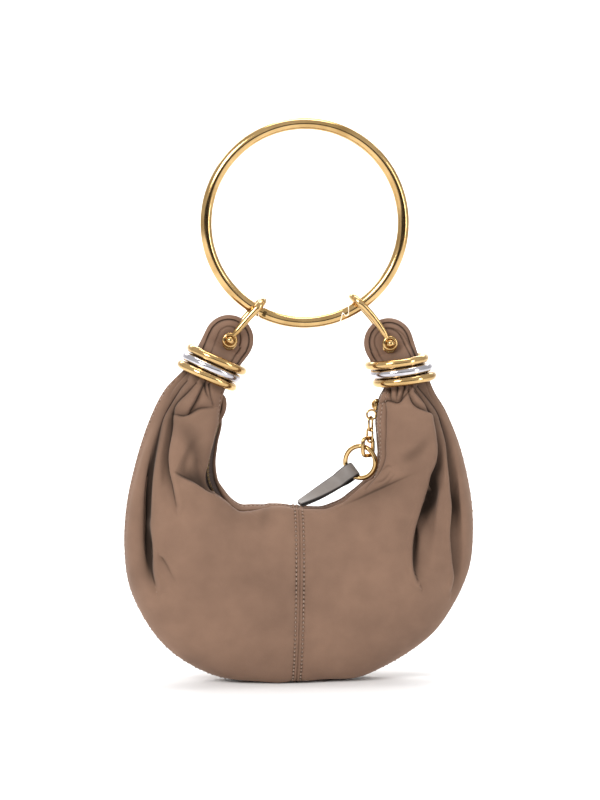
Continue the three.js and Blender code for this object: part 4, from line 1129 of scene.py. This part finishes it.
def zip_tape():
    """Two bands of woven tape under the panels' edges, as one closed strip."""
    place = np.linspace(0.5, LAST_STATION - 0.5, 330)
    (front, back), (front_under, back_under), down = zip_edges(place)
    line = np.stack([front_under, front, front * 0.75 + back * 0.25, front * 0.5 + back * 0.5,
                     front * 0.25 + back * 0.75, back, back_under], 1)
    top = line + down[:, None] * 0.45
    low = line + down[:, None] * 1.4
    ring = np.concatenate([top, np.flip(low, 1)], axis=1)
    faces = grid_faces(len(ring), 14, around=True).tolist()
    faces += [tuple(range(14)), tuple(range((len(ring) - 1) * 14, len(ring) * 14))]
    length = arc_lengths((front + back) / 2)[:, None] + np.zeros((1, 14))
    width = np.array([-7, -3.5, -1.75, 0, 1.75, 3.5, 7, 7, 3.5, 1.75, 0, -1.75, -3.5, -7.0])
    across = np.broadcast_to(width, length.shape)
    make("zip_tape_bands", [(ring, faces)], TAPE, "bag", ["zip_tape"], 40,
         {"along": length, "across": across})


def zip_teeth():
    """Rows of small blocks that interlock along the zip's middle line."""
    place = np.linspace(0.62, LAST_STATION - 0.62, 900)
    (front, back), _, down = zip_edges(place)
    middle = (front + back) / 2
    points, across, inwards = spread_along(middle, 1.25, [front - back, down])
    way = unit(np.gradient(points, axis=0))
    inwards = unit(inwards)
    across = unit(np.cross(inwards, way))
    swap = np.where(np.arange(len(points)) % 2, 1, -1)[:, None]
    points = points + across * swap * 0.75
    block = np.array([(x, y, z) for z, s in ((0.3, 1), (-0.75, 1), (-1.1, 0.7)) for x, y in
                      ((-0.45 * s, -1.5 * s), (0.45 * s, -1.5 * s), (0.5 * s, 1.4 * s), (-0.5 * s, 1.4 * s))])
    grid = (points[:, None] + block[:, 0, None] * way[:, None] + block[:, 1, None] * across[:, None]
            + block[:, 2, None] * inwards[:, None])
    one = grid_faces(3, 4, around=True)
    faces = (one[None] + 12 * np.arange(len(points))[:, None, None]).reshape(-1, 4).tolist()
    faces += [tuple(12 * i + k for k in cap) for i in range(len(points)) for cap in (range(4), range(8, 12))]
    make("zip_tooth_rows", [(grid, faces)], TEETH, "bag", ["zip_teeth"], 30)


zip_tape()
zip_teeth()


# The zip's pull and its end tab


def middle_of(node):
    """The middle of a solid of the frame, in millimetres."""
    low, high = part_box(node)
    return (np.array(low) + np.array(high)) / 2 / METRE


def flat_way(degrees):
    """The level way at so many degrees from X."""
    return vector(math.cos(math.radians(degrees)), math.sin(math.radians(degrees)), 0)


def band(line, wide, width, thickness, sides=32):
    """A flat strap along a line, with rounded edges; wide is the way across it at each point."""
    way = unit(np.gradient(line, axis=0))
    wide = unit(wide - way * (wide * way).sum(-1, keepdims=True))
    thick = np.cross(wide, way)
    rim = np.abs(squared(np.cos(np.linspace(0, 2 * np.pi, sides, endpoint=False)), 0.4))
    part = sweep(line, 1, wide * width / 2, thick * thickness / 2, sides, power=0.4)
    return part, np.broadcast_to(rim, (len(line), sides))


def wire_loop(middle, across, half_wide, half_high, straight, wire, power=1.0):
    """A closed wire in an upright plane: half_wide cos t across, and up half_high sin t with its halves moved
    apart by the straight part."""
    turn = (np.arange(72) + 0.5) * 2 * np.pi / 72
    wide = half_wide * squared(np.cos(turn), power)
    high = half_high * squared(np.sin(turn), power) + straight * np.sign(np.sin(turn))
    line = middle + wide[:, None] * across + high[:, None] * vector(0, 0, 1)
    return planar_sweep(line, wire, np.cross(across, (0, 0, 1.0)), 16, closed=True)


def zip_pull():
    """The slider with its bail, two wire links, the square link and the pull ring."""
    (front, back), _, down = zip_edges(np.array([19.1]))
    out = -down[0]
    way = vector(-out[2], 0, out[0])
    base = (front[0] + back[0]) / 2 + out * 1.45
    place = np.linspace(-1, 1, 25)[1:-1]
    taper = (1 - np.abs(place) ** 4) ** 0.4
    line = base + out * (0.2 + 1.4 * taper[:, None]) + way * 4.4 * place[:, None]
    across = np.broadcast_to(vector(0, 2.5, 0), line.shape) * taper[:, None]
    body = sweep(line, 1, across, out * 1.4 * taper[:, None], 28, power=0.6)
    arch = np.linspace(0, np.pi, 17)[:, None]
    bridge = base + out * (2.2 + 1.5 * np.sin(arch)) - way * 2.4 * np.cos(arch)
    bail_middle = base + out * 3.75 + way * 6.85
    bail = torus(bail_middle, vector(1, 0, 0), vector(0, 0, 1), 3.1, 0.75, 48, 16)
    make("slider_with_bail", [body, planar_sweep(bridge, 0.7, vector(0, 1, 0), 14), bail], GOLD, "bag",
         ["zip_slider"])
    for node, degrees in (("pull_link_upper", 56), ("pull_link_lower", -56)):
        link = wire_loop(middle_of(node), flat_way(degrees), 2.65, 2.65, 2.0, 0.78)
        make(f"{node}_wire", [link], GOLD, "bag", [node])
    square = wire_loop(middle_of("pull_square_link"), flat_way(34), 4.4, 5.8, 0, 1.38, 0.5)
    make("square_link_frame", [square], GOLD, "bag", ["pull_square_link"])
    ring = torus(middle_of("pull_ring"), flat_way(PULL_TURN), vector(0, 0, 1), PULL_RING, PULL_WIRE, 96, 24)
    make("pull_ring_loop", [ring], GOLD, "bag", ["pull_ring"])


def pull_strap():
    """A strap folded round the pull ring. Both layers follow a curve from F past K to E,
    (1 - t)^2 F + 2 t (1 - t) K + t^2 E, and spread apart near F to go round the ring. The layer behind
    is painted dark all over as painted shade."""
    axis = flat_way(PULL_TURN)
    fold = middle_of("pull_ring") - (axis + vector(0, 0, 1)) * PULL_RING * math.sqrt(0.5)
    (front, back), _, down = zip_edges(np.array([10.2]))
    end = (front[0] + back[0]) / 2 - down[0] * 7
    knee = fold + (end - fold) * 0.6 + vector(0, 0, -1.5)
    t = np.linspace(0, 1, 60)[:, None]
    line = (1 - t) ** 2 * fold + 2 * t * (1 - t) * knee + t**2 * end
    way = unit(np.gradient(line, axis=0))
    start_wide = (axis - vector(0, 0, 1)) * math.sqrt(0.5)
    twist = 0.82 * t
    wide = start_wide * (1 - twist) + vector(0, -1, 0) * twist
    wide = unit(wide - way * (wide * way).sum(-1, keepdims=True))
    up = np.cross(wide, way)
    near = np.clip(arc_lengths(line)[:, None] / 11, 0, 1)
    apart = 0.78 + 3.7 * (1 - near**2) ** 2
    turn = np.linspace(0, np.pi, 15)[1:-1, None]
    round_fold = fold + 4.48 * (up[0] * np.cos(turn) - way[0] * np.sin(turn))
    whole = np.concatenate([(line + up * apart)[::-1], round_fold, line - up * apart])
    wides = np.concatenate([wide[::-1], np.repeat(wide[:1], len(turn), axis=0), wide])
    part, rim = band(whole, wides, STRAP_WIDTH, STRAP_WALL)
    # Painted shade: rim 1 makes the whole layer behind as dark as the edge paint.
    rim = np.concatenate([np.ones_like(rim[:len(line)]), rim[len(line):]])
    make("pull_strap", [part], STRAP, "bag", ["pull_tag"], 50, {"rim": rim})


def end_tab():
    """The leather tab folded over the left end of the zip, with a narrow slit between its layers."""
    bends = np.array([(-60.4, -188), (-59.0, -182), (-58.0, -177.6), (-56.5, -174.9), (-54.5, -175.7),
                      (-53.7, -179.5), (-54.3, -184), (-56.9, -189.5), (-60, -194)])
    place = np.linspace(0, len(bends) - 1, 60)
    line = np.stack([along(bends[:, 0], place), 0 * place - 1.5, along(bends[:, 1], place)], -1)
    part, rim = band(line, np.broadcast_to(vector(0, 1, 0), line.shape), 8.4, 3.3)
    # The fold attribute makes the tab a little darker towards its side edges.
    make("end_tab_fold", [part], LEATHER, "bag", ["zip_end_tab"], 60, {"fold": 0.25 * rim**6})
    profile = [(0.5, -1.1), (1, -0.6), (1, 0.6), (0.5, 1.1)]
    stop = turned(vector(-57.2, -4.2, -171.9), (1, 0, 0.4), profile, 20)
    make("zip_top_stop", [stop], SILVER, "bag")


zip_pull()
pull_strap()
end_tab()


# Floor, light and camera


def plain(name, colour, roughness=0.9):
    """A matt paper or cloth with the faintest cloud in its tone."""
    look = Finish(name, colour, roughness)
    soft = look.noise(3, 2.0)
    return look.set(Base_Color=look.mix(soft, colour, tuple(c * 0.985 for c in colour)))


def backdrop():
    """A pale sweep: level under the bag, then a quarter circle up into a wall behind it."""
    floor = FLOOR - 1.0
    bend, radius = np.linspace(0, np.pi / 2, 25)[1:], 900
    depth = np.concatenate([np.linspace(-2500, 1500, 9), 1500 + radius * np.sin(bend), np.full(4, 2400)])
    height = np.concatenate([np.zeros(9), radius * (1 - np.cos(bend)), np.linspace(1200, 3600, 4)])
    width = np.linspace(-4000, 4000, 5)
    grid = np.stack(np.broadcast_arrays(width[None, :], depth[:, None], floor + height[:, None]), -1)
    mesh = bpy.data.meshes.new("backdrop")
    mesh.from_pydata((grid.reshape(-1, 3) * METRE).tolist(), [], grid_faces(*grid.shape[:2]).tolist())
    mesh.shade_smooth()
    mesh.materials.append(plain("backdrop_paper", (0.93, 0.93, 0.93)))
    made = bpy.data.objects.new("backdrop", mesh)
    bpy.context.collection.objects.link(made)


def softbox(name, place, aim, size, power):
    """A white rectangular light at a place in metres, turned to its aim."""
    data = bpy.data.lights.new(name, "AREA")
    data.shape, data.size, data.size_y = "RECTANGLE", *size
    data.energy = power
    made = bpy.data.objects.new(name, data)
    bpy.context.collection.objects.link(made)
    way = Vector(aim) - Vector(place)
    made.location = place
    made.rotation_euler = way.to_track_quat("-Z", "Y").to_euler()


def flag():
    """A dark card behind the camera, which the metal reflects. It is hidden from the camera itself."""
    mesh = bpy.data.meshes.new("flag")
    corners = [(x, -3.1, z) for z in (-1.6, 0.45) for x in (-3, 3)]
    mesh.from_pydata(corners, [], [(0, 1, 3, 2)])
    mesh.materials.append(plain("flag_felt", (0.02, 0.018, 0.016)))
    made = bpy.data.objects.new("flag", mesh)
    bpy.context.collection.objects.link(made)
    made.visible_camera = False
    made.visible_shadow = False


def studio():
    """A white surround with a large light from the left, a narrow one from the right, and two from above."""
    world = bpy.data.worlds.new("studio")
    bpy.context.scene.world = world
    world.use_nodes = True
    world.node_tree.nodes["Background"].inputs["Color"].default_value = (1, 1, 1, 1)
    world.node_tree.nodes["Background"].inputs["Strength"].default_value = 0.66
    middle = (0, 0, -0.2)
    softbox("key_softbox", (-1.2, -1.5, 1.0), middle, (0.7, 0.9), 31)
    softbox("fill_softbox", (1.7, -1.3, 0.2), middle, (0.35, 1.4), 11)
    softbox("top_softbox", (0.1, 0.2, 1.6), middle, (1.2, 0.7), 15)
    softbox("floor_softbox", (0, 1.4, 0.9), (0, 1.6, -0.4), (2.4, 0.6), 30)


def camera():
    """A long lens at the photograph's angle, at the distance where PIXEL fills a pixel of the picture."""
    data = bpy.data.cameras.new("camera")
    data.lens, data.sensor_width = 135, 36
    made = bpy.data.objects.new("camera", data)
    bpy.context.collection.objects.link(made)
    bpy.context.scene.camera = made
    turn, rise = math.radians(-6), math.radians(4.5)
    aim = Vector((-0.0033, 0, -0.1779))
    back = Vector((math.sin(turn) * math.cos(rise), -math.cos(turn) * math.cos(rise), math.sin(rise)))
    made.location = aim + back * (PIXEL * METRE * 800 * data.lens / data.sensor_width)
    made.rotation_euler = (-back).to_track_quat("-Z", "Y").to_euler()
    data.clip_start, data.clip_end = 0.01, 50


backdrop()
flag()
studio()
camera()
bpy.context.scene.view_settings.view_transform = "Standard"
